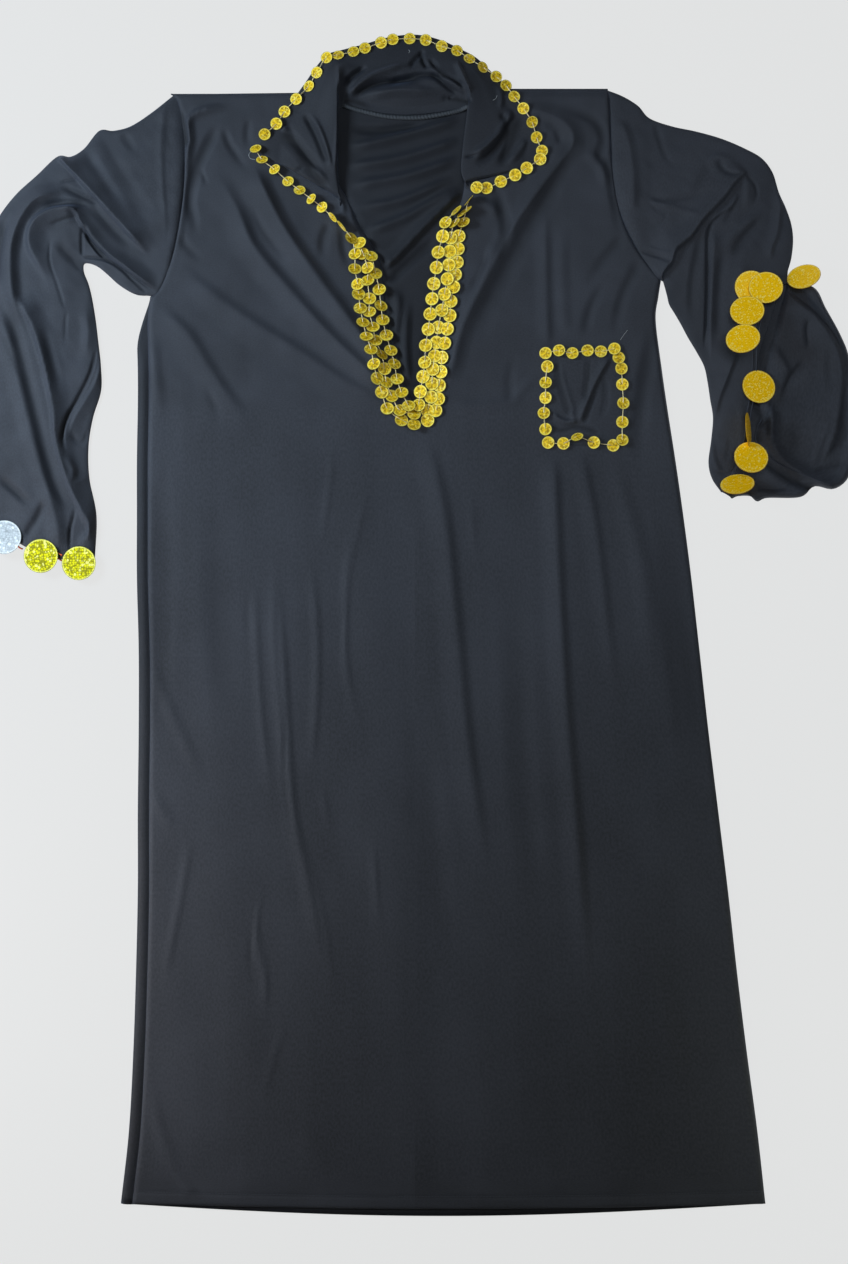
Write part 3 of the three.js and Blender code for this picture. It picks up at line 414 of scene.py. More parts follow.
LEFT_SLEEVE_FOLDS = fold_table(
    (-5.5, 6, 4, 0.5, 0.15, 0.3, (-372, 455), (-365, 441), (-354, 428), (-339, 414)),
    (11, 29, 3, 0.85, 0.05, 0.2, (-401, 534), (-377, 508), (-353, 482), (-325, 451), (-298, 422)),
    (-3, 10, 10, 0.2, 0.3, 0.3, (-366, 484), (-342, 455), (-312, 426)),
    (8, 18, 3, 0.8, 0.12, 0.15, (-398, 474), (-382, 472), (-374, 459), (-361, 439), (-348, 426),
     (-329, 412), (-301, 390), (-288, 381)),
    (-4, 3, 3, 0.7, 0.2, 0.15, (-371, 450), (-363, 437), (-351, 421), (-333, 410), (-310, 395),
     (-289, 381)),
    (-1.0, 15, 15, 0.2, 0.2, 0.4, (-353, 564), (-339, 534), (-324, 504), (-307, 476), (-295, 452)),
    (1.5, 15, 13, 0.2, 0.2, 0.4, (-363, 551), (-347, 521), (-328, 491), (-307, 458)),
    (-1.1, 10, 10, 0.2, 0.2, 0.4, (-371, 540), (-348, 505), (-321, 470)),
    (-1.6, 8, 8, 0.3, 0.2, 0.5, (-328, 559), (-319, 545), (-312, 535)),
    (1.5, 3, 10, 0.8, 0.1, 0.4, (-279, 596), (-283, 551), (-282, 506), (-279, 461), (-281, 432)),
    (-0.8, 7, 7, 0.3, 0.3, 0.5, (-274, 582), (-276, 557), (-272, 529)),
    (9, 12, 16, 0.6, 0.15, 0.25, (-391, 493), (-422, 485), (-440, 464), (-450, 437), (-452, 408),
     (-449, 374), (-438, 338)),
    (-4, 9, 9, 0.3, 0.2, 0.3, (-461, 466), (-463, 444), (-467, 414), (-465, 383)),
    (8, 22, 6, 0.6, 0.1, 0.4, (-376, 472), (-402, 473), (-422, 463), (-431, 448), (-430, 429),
     (-418, 407), (-405, 383)),
    (-4, 7, 7, 0.3, 0.3, 0.3, (-420, 476), (-392, 480), (-360, 477)),
    (-2.4, 3, 3, 0.6, 0.3, 0.2, (-410, 455), (-395, 460), (-376, 466)),
    (-1.8, 2, 3, 0.8, 0.2, 0.2, (-408, 442), (-408, 414), (-400, 389), (-391, 360)),
    (-2.4, 10, 9, 0.3, 0.3, 0.1, (-402, 439), (-388, 422), (-370, 408)),
    (-3, 6, 6, 0.3, 0.3, 0.2, (-398, 500), (-375, 489), (-352, 479)),
    (-1.6, 3, 3, 0.5, 0.3, 0.2, (-398, 503), (-386, 506), (-376, 507)),
    (-3, 3, 3, 0.5, 0.3, 0.2, (-372, 457), (-373, 439), (-373, 420)),
    (-3.2, 3, 3, 0.7, 0.1, 0.1, (-373, 420), (-353, 418), (-335, 411), (-318, 396), (-300, 379)),
    (-3.2, 11, 10, 0.1, 0.2, 0.15, (-461, 383), (-449, 338), (-436, 288), (-424, 237), (-413, 193),
     (-400, 157), (-380, 132)),
    (9, 22, 4, 0.8, 0.08, 0.1, (-446, 375), (-429, 344), (-416, 302), (-405, 249), (-402, 215),
     (-391, 176), (-375, 139), (-364, 116), (-372, 103), (-384, 93)),
    (4.2, 13, 18, 0.5, 0.15, 0.1, (-467, 365), (-452, 321), (-441, 277), (-428, 226), (-418, 187),
     (-407, 148), (-399, 114), (-398, 85)),
    (-4.5, 3, 4, 0.8, 0.15, 0.2, (-356, 319), (-363, 291), (-377, 262), (-389, 240), (-394, 217),
     (-388, 196)),
    (3, 13, 4, 0.5, 0.2, 0.3, (-349, 316), (-356, 284), (-370, 258), (-382, 237), (-388, 215)),
    (1.8, 4, 7, 0.5, 0.3, 0.3, (-384, 164), (-375, 170), (-364, 174)),
    (-3.2, 3, 3, 0.6, 0.1, 0.3, (-386, 92), (-386, 114), (-379, 141)),
    (-3.4, 8, 8, 0.3, 0.3, 0.4, (-469, 176), (-451, 161), (-436, 148), (-420, 142)),
    (-3.2, 7, 7, 0.3, 0.2, 0.2, (-413, 148), (-424, 125), (-438, 105)),
    (-2.6, 9, 9, 0.2, 0.3, 0.4, (-418, 347), (-407, 307), (-396, 258)),
    (-1.2, 2, 3, 0.5, 0.3, 0.4, (-389, 362), (-391, 344), (-391, 321)),
    (-2.4, 4, 4, 0.5, 0.3, 0.3, (-389, 224), (-377, 213), (-370, 215), (-366, 226)),
    (2.6, 6, 7, 0.4, 0.3, 0.3, (-391, 198), (-382, 181), (-386, 164)),
    (5, 16, 16, 0.3, 0.3, 0.3, (-487, 338), (-485, 260), (-476, 181)),
    (-3, 10, 10, 0.3, 0.3, 0.3, (-498, 282), (-494, 215), (-487, 159)),
    (-1.8, 6, 6, 0.4, 0.3, 0.5, (-465, 338), (-454, 316), (-440, 284)),
    (2.4, 9, 11, 0.3, 0.4, 0.4, (-371, 372), (-366, 338), (-368, 302)),
)

RIGHT_SLEEVE_FOLDS = fold_table(
    (7.5, 3, 27, 0.85, 0.05, 0.08, (372, 517), (358, 503), (346, 487), (333, 473), (321, 460),
     (308, 442), (292, 428), (287, 414), (277, 400), (273, 376)),
    (3, 3, 6, 0.6, 0.2, 0.2, (362, 492), (353, 476), (340, 467), (328, 452)),
    (-5, 3, 3, 0.8, 0.1, 0.2, (351, 472), (337, 463), (329, 451), (327, 433), (327, 394), (326, 349),
     (324, 314)),
    (4, 18, 3, 0.7, 0.12, 0.2, (334, 450), (332, 405), (330, 347), (332, 302)),
    (-2.2, 10, 8, 0.2, 0.2, 0.4, (323, 448), (317, 428), (310, 383), (312, 338)),
    (-1.8, 3, 4, 0.5, 0.1, 0.4, (370, 513), (380, 502), (383, 491), (379, 479)),
    (2, 10, 7, 0.3, 0.1, 0.5, (368, 513), (372, 495), (370, 467)),
    (-2.4, 3, 8, 0.6, 0.2, 0.1, (340, 531), (346, 519), (356, 513), (368, 514)),
    (1.4, 7, 9, 0.4, 0.3, 0.3, (326, 520), (338, 532), (358, 529)),
    (2.6, 10, 15, 0.7, 0.15, 0.15, (226, 576), (234, 564), (241, 538), (244, 506), (244, 468)),
    (-1.3, 6, 6, 0.3, 0.1, 0.5, (269, 573), (274, 551), (283, 529), (299, 513)),
    (-1.6, 8, 4, 0.5, 0.2, 0.4, (258, 492), (274, 483), (306, 486), (333, 495)),
    (1.9, 8, 3, 0.8, 0.15, 0.3, (260, 482), (280, 476), (306, 469), (324, 464)),
    (-0.9, 3, 3, 0.4, 0.2, 0.3, (261, 480), (270, 473), (281, 465), (264, 451)),
    (-1.2, 10, 10, 0.2, 0.3, 0.4, (333, 529), (321, 506), (308, 489)),
    (-2.2, 10, 8, 0.3, 0.3, 0.3, (393, 466), (375, 449), (362, 432), (354, 414)),
    (1.8, 9, 10, 0.3, 0.3, 0.4, (391, 477), (370, 457), (352, 438), (344, 414)),
    (2.4, 6, 13, 0.7, 0.2, 0.2, (408, 506), (409, 476), (405, 446), (399, 430), (398, 412)),
    (-1.4, 6, 6, 0.3, 0.3, 0.3, (356, 480), (354, 469), (344, 455)),
    (-2, 2, 3, 0.6, 0.1, 0.1, (253, 427), (269, 421), (287, 414)),
    (1.4, 3, 4, 0.5, 0.2, 0.2, (260, 431), (274, 426), (288, 422)),
    (3, 6, 16, 0.7, 0.2, 0.3, (360, 314), (348, 282), (340, 260), (335, 235)),
    (-1.8, 9, 8, 0.2, 0.3, 0.3, (346, 433), (340, 394), (337, 321)),
    (1.4, 11, 11, 0.2, 0.3, 0.4, (370, 428), (362, 372), (366, 321)),
    (-1.4, 3, 3, 0.5, 0.3, 0.3, (352, 220), (351, 204), (348, 188)),
    (1.6, 6, 6, 0.3, 0.3, 0.3, (332, 215), (335, 193), (344, 175)),
    (-2, 3, 3, 0.6, 0.3, 0.3, (335, 179), (351, 177), (366, 188)),
    (1.6, 10, 8, 0.3, 0.3, 0.3, (362, 262), (368, 226), (364, 190)),
)

CUFF_LINING_FOLDS = fold_table(
    (6.5, 8, 52, 0.75, 0.1, 0.15, (411, 384), (430, 367), (448, 352), (466, 327), (475, 302),
     (477, 278), (474, 249), (467, 215), (458, 190)),
    (-2, 8, 3, 0.4, 0.15, 0.3, (416, 382), (435, 368), (454, 352), (472, 327), (480, 302)),
    (-1.2, 6, 6, 0.3, 0.2, 0.2, (431, 380), (451, 362), (467, 338)),
    (-3, 3, 7, 0.7, 0.2, 0.3, (441, 351), (439, 337), (441, 316)),
    (3, 6, 16, 0.7, 0.3, 0.15, (394, 330), (409, 308), (420, 288)),
    (-3, 10, 4, 0.6, 0.15, 0.4, (437, 306), (428, 296), (420, 286), (413, 271), (409, 258)),
    (-2.6, 7, 6, 0.3, 0.15, 0.3, (391, 363), (390, 333), (388, 305), (391, 269)),
    (1.6, 4, 8, 0.5, 0.3, 0.2, (469, 240), (456, 215), (446, 181)),
    (1.4, 4, 8, 0.5, 0.3, 0.3, (483, 243), (467, 215), (456, 190)),
    (-1.6, 7, 7, 0.2, 0.3, 0.4, (465, 321), (463, 299), (465, 265)),
    (2.6, 3, 7, 0.6, 0.2, 0.3, (395, 262), (400, 240), (398, 211), (390, 215)),
    (-6, 6, 7, 0.7, 0.1, 0.2, (374, 260), (382, 251), (389, 240), (384, 226)),
    (6.5, 16, 4, 0.7, 0.12, 0.1, (395, 258), (398, 237), (398, 215), (408, 195), (428, 179),
     (447, 170), (472, 161)),
    (-8, 6, 6, 0.8, 0.1, 0.1, (384, 228), (386, 208), (394, 190), (412, 176), (432, 165), (460, 155)),
    (2, 3, 6, 0.7, 0.2, 0.2, (395, 151), (416, 160), (435, 168)),
    (-3, 4, 4, 0.6, 0.2, 0.1, (445, 179), (463, 184), (485, 189)),
    (-1.4, 6, 6, 0.3, 0.3, 0.3, (380, 172), (386, 164), (403, 157)),
    (-1.2, 10, 10, 0.2, 0.4, 0.4, (420, 237), (427, 215), (424, 195)),
)

BACK_FOLDS = fold_table(
    (6, 7, 11, 0.5, 0.2, 0.2, (-78, 544), (-48, 548), (6, 562), (53, 576)),
    (6.4, 7, 12, 0.5, 0.2, 0.2, (-78, 522), (-17, 531), (53, 553)),
    (6.4, 7, 11, 0.5, 0.2, 0.2, (-73, 500), (-11, 511), (50, 531)),
    (6, 7, 11, 0.5, 0.3, 0.3, (-71, 475), (-17, 484), (48, 511)),
    (6, 7, 11, 0.5, 0.2, 0.3, (-57, 448), (-6, 468), (50, 502)),
    (8, 16, 4, 0.7, 0.1, 0.15, (-36, 405), (-17, 423), (10, 452), (53, 495)),
    (-3.9, 8, 8, 0.3, 0.2, 0.3, (-32, 390), (-6, 414), (28, 445)),
    (4.4, 6, 9, 0.4, 0.3, 0.3, (-32, 383), (-19, 372), (-21, 327)),
    (4.4, 6, 9, 0.4, 0.3, 0.3, (-8, 376), (-10, 316), (-6, 265)),
    (-3.9, 7, 7, 0.2, 0.3, 0.3, (-78, 564), (-39, 562), (17, 569)),
)

COLLAR_FOLDS = fold_table(
    (4.5, 7, 13, 0.6, 0.1, 0.15, (-151, 571), (-137, 549), (-118, 523), (-97, 500)),
    (-3.6, 10, 7, 0.3, 0.2, 0.2, (-147, 564), (-129, 542), (-106, 513)),
    (-3.6, 6, 6, 0.3, 0.2, 0.2, (-125, 582), (-111, 556), (-96, 520)),
    (3.6, 4, 7, 0.5, 0.3, 0.2, (-115, 580), (-102, 551), (-92, 515)),
    (-2.8, 2, 2, 0.6, 0.3, 0.3, (-138, 511), (-131, 516), (-124, 521)),
    (7.5, 7, 9, 0.7, 0.15, 0.3, (-77, 598), (-66, 608), (-46, 622), (-21, 631), (-3, 634)),
    (-6.8, 6, 8, 0.3, 0.2, 0.3, (-73, 598), (-55, 609), (-26, 616), (15, 618)),
    (-5.4, 6, 6, 0.3, 0.3, 0.3, (-81, 609), (-71, 620), (-53, 634)),
    (-7.5, 4, 4, 0.5, 0.15, 0.4, (-82, 595), (-68, 594), (-48, 587)),
    (-7.5, 4, 4, 0.5, 0.15, 0.4, (64, 592), (48, 596), (28, 598)),
    (5, 7, 9, 0.3, 0.3, 0.3, (-59, 598), (-17, 605), (28, 603)),
    (3, 9, 6, 0.7, 0.15, 0.15, (-86, 641), (-84, 607), (-84, 573), (-87, 540), (-91, 508)),
    (-5, 6, 7, 0.4, 0.2, 0.3, (-32, 612), (-15, 618), (10, 623), (41, 618)),
    (-4, 4, 6, 0.5, 0.2, 0.3, (11, 652), (-1, 638), (-6, 629)),
    (-5, 6, 4, 0.5, 0.2, 0.2, (15, 643), (28, 625), (46, 614), (57, 605)),
    (-5, 11, 8, 0.4, 0.15, 0.3, (111, 578), (91, 544), (66, 520)),
    (-5, 8, 11, 0.4, 0.1, 0.2, (-150, 562), (-125, 531), (-97, 488)),
    (-4.5, 4, 4, 0.4, 0.3, 0.3, (7, 650), (9, 638), (15, 629)),
    (5.9, 6, 9, 0.6, 0.3, 0.2, (17, 638), (28, 625), (46, 612), (59, 603)),
    (-4.5, 4, 6, 0.3, 0.3, 0.3, (15, 629), (32, 614), (53, 600)),
    (5, 4, 7, 0.7, 0.2, 0.2, (46, 641), (53, 623), (63, 600)),
    (5.9, 10, 8, 0.6, 0.2, 0.2, (109, 587), (100, 564), (82, 544), (62, 529)),
    (-5.4, 9, 8, 0.3, 0.2, 0.3, (118, 582), (109, 553), (93, 517)),
    (3.1, 7, 7, 0.4, 0.3, 0.3, (127, 557), (118, 540), (104, 522)),
    (-3.1, 6, 6, 0.3, 0.3, 0.4, (95, 582), (102, 569), (95, 556)),
    (2.8, 4, 7, 0.5, 0.3, 0.4, (93, 614), (97, 598), (95, 582)),
    (-3.1, 2, 3, 0.5, 0.3, 0.5, (54, 531), (62, 531), (73, 535)),
)

POCKET_FOLDS = fold_table(
    (2.2, 7, 7, 0.7, 0.2, 0.1, (159, 300), (168, 269), (180, 233)),
    (-3.4, 6, 6, 0.4, 0.2, 0.1, (157, 309), (162, 282), (174, 243)),
    (4.2, 6, 9, 0.8, 0.2, 0.1, (221, 314), (200, 276), (183, 233)),
    (-4.2, 3, 6, 0.5, 0.2, 0.3, (196, 309), (194, 284), (190, 255)),
    (-2.2, 4, 4, 0.4, 0.3, 0.2, (203, 269), (196, 251), (190, 233)),
    (-5, 4, 4, 0.5, 0.2, 0.2, (150, 237), (162, 226), (183, 230), (208, 222)),
    (2.8, 4, 4, 0.5, 0.2, 0.2, (153, 245), (166, 236), (183, 236)),
    (-1.4, 6, 6, 0.3, 0.3, 0.3, (213, 288), (214, 260), (207, 237)),
)


# ---------------------------------------------------------------- shaping helpers
def ease(value):
    value = np.clip(value, 0.0, 1.0)
    return value * value * (3.0 - 2.0 * value)


def round_over(value):
    """A quarter circle's height over a share of its width."""
    value = np.clip(value, 0.0, 1.0)
    return np.sqrt(1.0 - (1.0 - value) ** 2)


def round_edge(z, low, distance, width):
    """Rounds heights down to low at an edge, over a width from it."""
    return low + (z - low) * round_over(distance / width)


def soft_floor(height, floor, softness=0.5):
    """Keeps heights above a floor, with a soft bend of this softness."""
    return floor + softness * np.logaddexp(0.0, (height - floor) / softness)


def catmull_rom(a, b, c, d, t):
    curve = 2 * b + (c - a) * t + (2 * a - 5 * b + 4 * c - d) * t**2
    return 0.5 * (curve + (3 * b - a - 3 * c + d) * t**3)


def smooth_path(points, steps):
    """Evenly numbered places on a Catmull-Rom curve through the points."""
    points = np.asarray(points, dtype=float)
    first = 2 * points[:1] - points[1:2]
    last = 2 * points[-1:] - points[-2:-1]
    padded = np.vstack([first, points, last])
    at = np.linspace(0, len(points) - 1, steps)
    start = np.minimum(at.astype(int), len(points) - 2)
    return catmull_rom(*(padded[start + k] for k in range(4)), (at - start)[:, None])


def along_path(path):
    """How far along its own length each point of a path lies, and the length."""
    gone = np.concatenate([[0.0], np.cumsum(np.hypot(*np.diff(path[:, :2], axis=0).T))])
    return gone / gone[-1], gone[-1]


def fold_height(folds, x, y):
    """The summed heights of the folds at the points."""
    total = np.zeros_like(x)
    for fold in folds:
        path = smooth_path(fold.path, 10 * len(fold.path))
        share, length = along_path(path)
        reach = max(fold.left, fold.right)
        low = path.min(axis=0) - reach
        high = path.max(axis=0) + reach
        near = (x > low[0]) & (x < high[0]) & (y > low[1]) & (y < high[1])
        near = np.flatnonzero(near)
        if not near.size:
            continue
        tangent = np.gradient(path, axis=0)
        tangent /= np.hypot(*tangent.T)[:, None]
        dx = x[near][:, None] - path[:, 0]
        dy = y[near][:, None] - path[:, 1]
        closest = np.argmin(dx**2 + dy**2, axis=1)
        dx = x[near] - path[closest, 0]
        dy = y[near] - path[closest, 1]
        tx, ty = tangent[closest].T
        side = tx * dy - ty * dx
        along = share[closest] + (tx * dx + ty * dy) / length
        fade = ease(along / fold.head) * ease((1.0 - along) / fold.tail)
        t = np.minimum(np.abs(side) / np.where(side > 0, fold.left, fold.right), 1.0)
        across = (1.0 - fold.crest) * np.cos(0.5 * np.pi * t) ** 2
        across += fold.crest * (1.0 - t) ** 2
        total[near] += fold.rise * across * fade
    return total


def ripple(x, y, seed, spacing, height, heading=0.0, spread=math.pi):
    """Low uneven waves whose crests run within spread of heading."""
    rng = np.random.default_rng(seed)
    total = np.zeros_like(x)
    for _ in range(8):
        angle = heading + rng.uniform(-0.5, 0.5) * spread + 0.5 * math.pi
        wave = spacing * rng.uniform(0.55, 1.6)
        phase = rng.uniform(0.0, 2.0 * math.pi)
        total += np.sin(2 * math.pi * (x * math.cos(angle) + y * math.sin(angle)) / wave + phase)
    return height * total / 5.0


def table_reader(rows, column):
    """Reads a column of a table whose rows go down in y, smoothly."""
    path = smooth_path([(row[0], row[column]) for row in rows], 400)[::-1]
    return lambda y: np.interp(y, path[:, 0], path[:, 1])


NECK_LEFT = table_reader(NECK, 1)
NECK_RIGHT = table_reader(NECK, 2)
SIDE_LEFT = table_reader(SIDES, 1)
SIDE_RIGHT = table_reader(SIDES, 2)


def station_points(station, skew, fullness, share):
    """Points across a sleeve or armhole, from its shoulder edge to the underarm."""
    outer_x, outer_y, inner_x, inner_y, bow, drop = station
    swell = np.sin(np.pi * np.clip(share, 0.0, 1.0) ** skew)
    swell = np.maximum(swell, 0.0) ** fullness
    x = outer_x + (inner_x - outer_x) * share + bow * swell
    y = outer_y + (inner_y - outer_y) * share - drop * np.sin(np.pi * share)
    return x, y


def armhole_points(side, share):
    hole = ARMHOLES[side]
    station = (*hole.outer, *hole.inner, hole.bow, 0.0)
    return station_points(station, hole.skew, hole.fullness, share)


def hem_drop(x, y, left, right, depth):
    """How far the rows near the hem hang below their ends."""
    nearness = np.clip((HEM_DROP_FROM - y) / HEM_DROP_OVER, 0.0, 1.0)
    across = np.clip((x - left) / (right - left), 0.0, 1.0)
    return depth * nearness * np.sin(np.pi * across)


def sewn_share(share):
    """Shares across a flat tube, drawn closer at its two folded edges."""
    return share - 0.5 * np.sin(2 * np.pi * share) / (2 * np.pi)


# ---------------------------------------------------------------- mesh helpers
def add_cloth_grid(bm, columns, rows, size, place):
    """Adds a grid whose points lie where place puts its shares, u across and v down.

    Its map "cloth" holds metres along the cloth, for the knit.
    """
    cloth = bm.loops.layers.uv.get("cloth") or bm.loops.layers.uv.new("cloth")
    before = len(bm.faces)
    made = bmesh.ops.create_grid(bm, x_segments=columns, y_segments=rows, size=0.5)["verts"]
    shares = np.array([(vert.co.x + 0.5, 0.5 - vert.co.y) for vert in made])
    bm.faces.ensure_lookup_table()
    for face in bm.faces[before:]:
        face.smooth = True
        for loop in face.loops:
            u = loop.vert.co.x + 0.5
            v = 0.5 - loop.vert.co.y
            loop[cloth].uv = (u * size[0], v * size[1])
    points = np.column_stack(place(shares[:, 0], shares[:, 1])) * MM
    for vert, point in zip(made, points):
        vert.co = point
    return made


def end_mesh(bm, name):
    mesh = bpy.data.meshes.new(name)
    bm.to_mesh(mesh)
    bm.free()
    return mesh


def link_new(name, data):
    made = bpy.data.objects.new(name, data)
    bpy.context.scene.collection.objects.link(made)
    return made


def finish_mesh(bm, name, material):
    """Makes a piece of what bm holds."""
    mesh = end_mesh(bm, name)
    mesh.materials.append(material)
    piece = link_new(name, mesh)
    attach(piece, "root")
    return piece


def paint_crease_shade(piece, folds):
    """Stores how deep in a trough each point lies, for painted shade in the knit's colour."""
    mesh = piece.data
    places = np.empty(3 * len(mesh.vertices))
    mesh.vertices.foreach_get("co", places)
    x, y, _ = places.reshape(-1, 3).T / MM
    troughs = [fold for fold in folds if fold.rise < 0]
    depth = np.clip(-fold_height(troughs, x, y) / DEEPEST_CREASE_SHADE, 0.0, 1.0)
    painted_crease_shade = mesh.attributes.new("painted_crease_shade", "FLOAT", "POINT")
    painted_crease_shade.data.foreach_set("value", depth.astype(np.float32))


def face_up(bm):
    """Turns an open sheet's faces so that its upper side is outside."""
    bmesh.ops.recalc_face_normals(bm, faces=bm.faces)
    bm.normal_update()
    if sum(face.normal.z * face.calc_area() for face in bm.faces) < 0:
        bmesh.ops.reverse_faces(bm, faces=bm.faces)


def finish_cloth(bm, name, material, folds, extra_wall=0.0):
    """A cloth piece with painted shade in its troughs and a live wall on its lower side."""
    piece = finish_mesh(bm, name, material)
    paint_crease_shade(piece, folds)
    wall = piece.modifiers.new("Wall", "SOLIDIFY")
    wall.thickness = bpy.context.scene.dress_sizes.cloth_wall + extra_wall * MM
    wall.offset = -1.0
    wall.use_even_offset = False
    return piece


class Ground:
    """The highest laid surface under a point, in millimetres."""

    def __init__(self, names):
        depsgraph = bpy.context.evaluated_depsgraph_get()
        self.trees = []
        for name in names:
            piece = bpy.data.objects[name]
            self.trees.append(BVHTree.FromObject(piece, depsgraph))

    def height(self, x, y):
        best = 0.0
        start = Vector((x * MM, y * MM, SKY))
        for tree in self.trees:
            hit = tree.ray_cast(start, Vector((0.0, 0.0, -1.0)))[0]
            if hit is not None:
                best = max(best, hit.z / MM)
        return best

    def heights(self, x, y):
        return np.array([self.height(px, py) for px, py in zip(x, y)])

    def plane(self, x, y, radius):
        """Height and slopes of the plane that lies on the ground round a point."""
        around = []
        directions = 8
        for i in range(directions):
            angle = 2 * math.pi * i / directions
            dx = radius * math.cos(angle)
            dy = radius * math.sin(angle)
            around.append((dx, dy, self.height(x + dx, y + dy)))
        around.append((0.0, 0.0, self.height(x, y)))
        table = np.array(around)
        known = np.column_stack([table[:, :2], np.ones(len(table))])
        slope_x, slope_y, _ = np.linalg.lstsq(known, table[:, 2], rcond=None)[0]
        left_over = table[:, 2] - slope_x * table[:, 0] - slope_y * table[:, 1]
        return float(left_over.max()), float(slope_x), float(slope_y)


# ---------------------------------------------------------------- node helpers
def new_group(name, inputs):
    """Starts the group of a finish; inputs are (name, kind, default) rows."""
    group = bpy.data.node_groups.new(name, "ShaderNodeTree")
    outputs = [("Color", "Color", None), ("Roughness", "Float", None), ("Height", "Float", None)]
    for in_out, rows in (("INPUT", inputs), ("OUTPUT", outputs)):
        for label, kind, default in rows:
            socket = group.interface.new_socket(
                name=label, in_out=in_out, socket_type="NodeSocket" + kind
            )
            if default is not None:
                socket.default_value = default
    wires = Wiring(group)
    return group, wires, wires.add("NodeGroupInput").outputs


class Wiring:
    """Adds and joins nodes of one tree."""

    def __init__(self, tree):
        self.tree = tree
        self.column = 0

    def add(self, kind, inputs=None, **settings):
        node = self.tree.nodes.new(kind)
        self.column += 1
        node.location = (self.column * 180, 0)
        for key, value in settings.items():
            setattr(node, key, value)
        self.feed(node, inputs or {})
        return node

    def feed(self, node, values):
        """Joins or sets the inputs of a node, by name or number."""
        for key, value in values.items():
            if isinstance(value, bpy.types.NodeSocket):
                self.tree.links.new(value, node.inputs[key])
            else:
                node.inputs[key].default_value = value

    def math(self, operation, *values, clamp=False):
        inputs = dict(enumerate(values))
        return self.add("ShaderNodeMath", inputs, operation=operation, use_clamp=clamp).outputs[0]

    def plus(self, *values, clamp=False):
        return self.math("ADD", *values, clamp=clamp)

    def minus(self, *values):
        return self.math("SUBTRACT", *values)

    def times(self, *values, clamp=False):
        return self.math("MULTIPLY", *values, clamp=clamp)

    def mix(self, share, first, second):
        inputs = {0: share, 6: first, 7: second}
        return self.add("ShaderNodeMix", inputs, data_type="RGBA").outputs[2]

    def ramp(self, value, low, high):
        """Tones over a range of values; low and high are (value, tone) pairs."""
        node = self.add("ShaderNodeValToRGB", {0: value})
        for element, (place, tone) in zip(node.color_ramp.elements, (low, high)):
            element.position = place
            element.color = (tone, tone, tone, 1.0)
        return node.outputs[0]

    def noise(self, vector, scale, detail, roughness=0.5):
        inputs = {"Vector": vector, "Scale": scale, "Detail": detail, "Roughness": roughness}
        return self.add("ShaderNodeTexNoise", inputs).outputs["Fac"]

    def axes(self, vector):
        return self.add("ShaderNodeSeparateXYZ", {0: vector}).outputs

    def bump(self, shader, height, strength, distance):
        inputs = {"Height": height, "Strength": strength, "Distance": distance}
        self.feed(shader, {"Normal": self.add("ShaderNodeBump", inputs).outputs[0]})


def knit_group():
    """Fine jersey knit: wales across u, courses along v, uneven yarn and fading."""
    name = "jersey_knit"
    if name in bpy.data.node_groups:
        return bpy.data.node_groups[name]
    group, wires, given = new_group(
        name,
        [
            ("Vector", "Vector", None),
            ("Dark", "Color", (0.01, 0.01, 0.012, 1.0)),
            ("Worn", "Color", (0.02, 0.02, 0.024, 1.0)),
            ("Wales", "Float", WALES),
            ("Softness", "Float", 0.55),
        ],
    )
    u, v, _ = wires.axes(given["Vector"])
    wales = wires.times(u, given["Wales"])
    courses = wires.times(v, given["Wales"])
    leant = wires.plus(wires.times(courses, 1.3), wires.math("PINGPONG", wales, 0.5))
    loop_across = wires.math("PINGPONG", wales, 0.5)
    loop_down = wires.math("PINGPONG", leant, 0.5)
    loops = wires.times(loop_across, loop_down)
    yarn = wires.noise(given["Vector"], 420.0, 3.0, 0.6)
    faded = wires.noise(given["Vector"], 7.0, 4.0, 0.55)
    stretch = {0: given["Vector"], 1: (60.0, 2.0, 1.0)}
    stretched = wires.add("ShaderNodeVectorMath", stretch, operation="MULTIPLY").outputs[0]
    streaks = wires.noise(stretched, 1.0, 2.0)
    share = wires.times(wires.ramp(faded, (0.35, 0.0), (0.7, 1.0)), 0.5)
    share = wires.plus(share, wires.times(streaks, 0.25))
    grain = wires.ramp(yarn, (0.36, 0.0), (0.64, 1.0))
    share = wires.plus(share, wires.times(grain, 0.55), clamp=True)
    tone = wires.mix(share, given["Dark"], given["Worn"])
    gap = wires.times(wires.minus(0.25, loops), 0.8, clamp=True)
    tone = wires.mix(gap, tone, (0.002, 0.002, 0.003, 1.0))
    rough = wires.times(wires.minus(yarn, 0.5), 0.18)
    rough = wires.plus(rough, given["Softness"], clamp=True)
    height = wires.plus(wires.times(loops, 2.6), wires.times(yarn, 0.5))
    wires.add("NodeGroupOutput", {"Color": tone, "Roughness": rough, "Height": height})
    return group


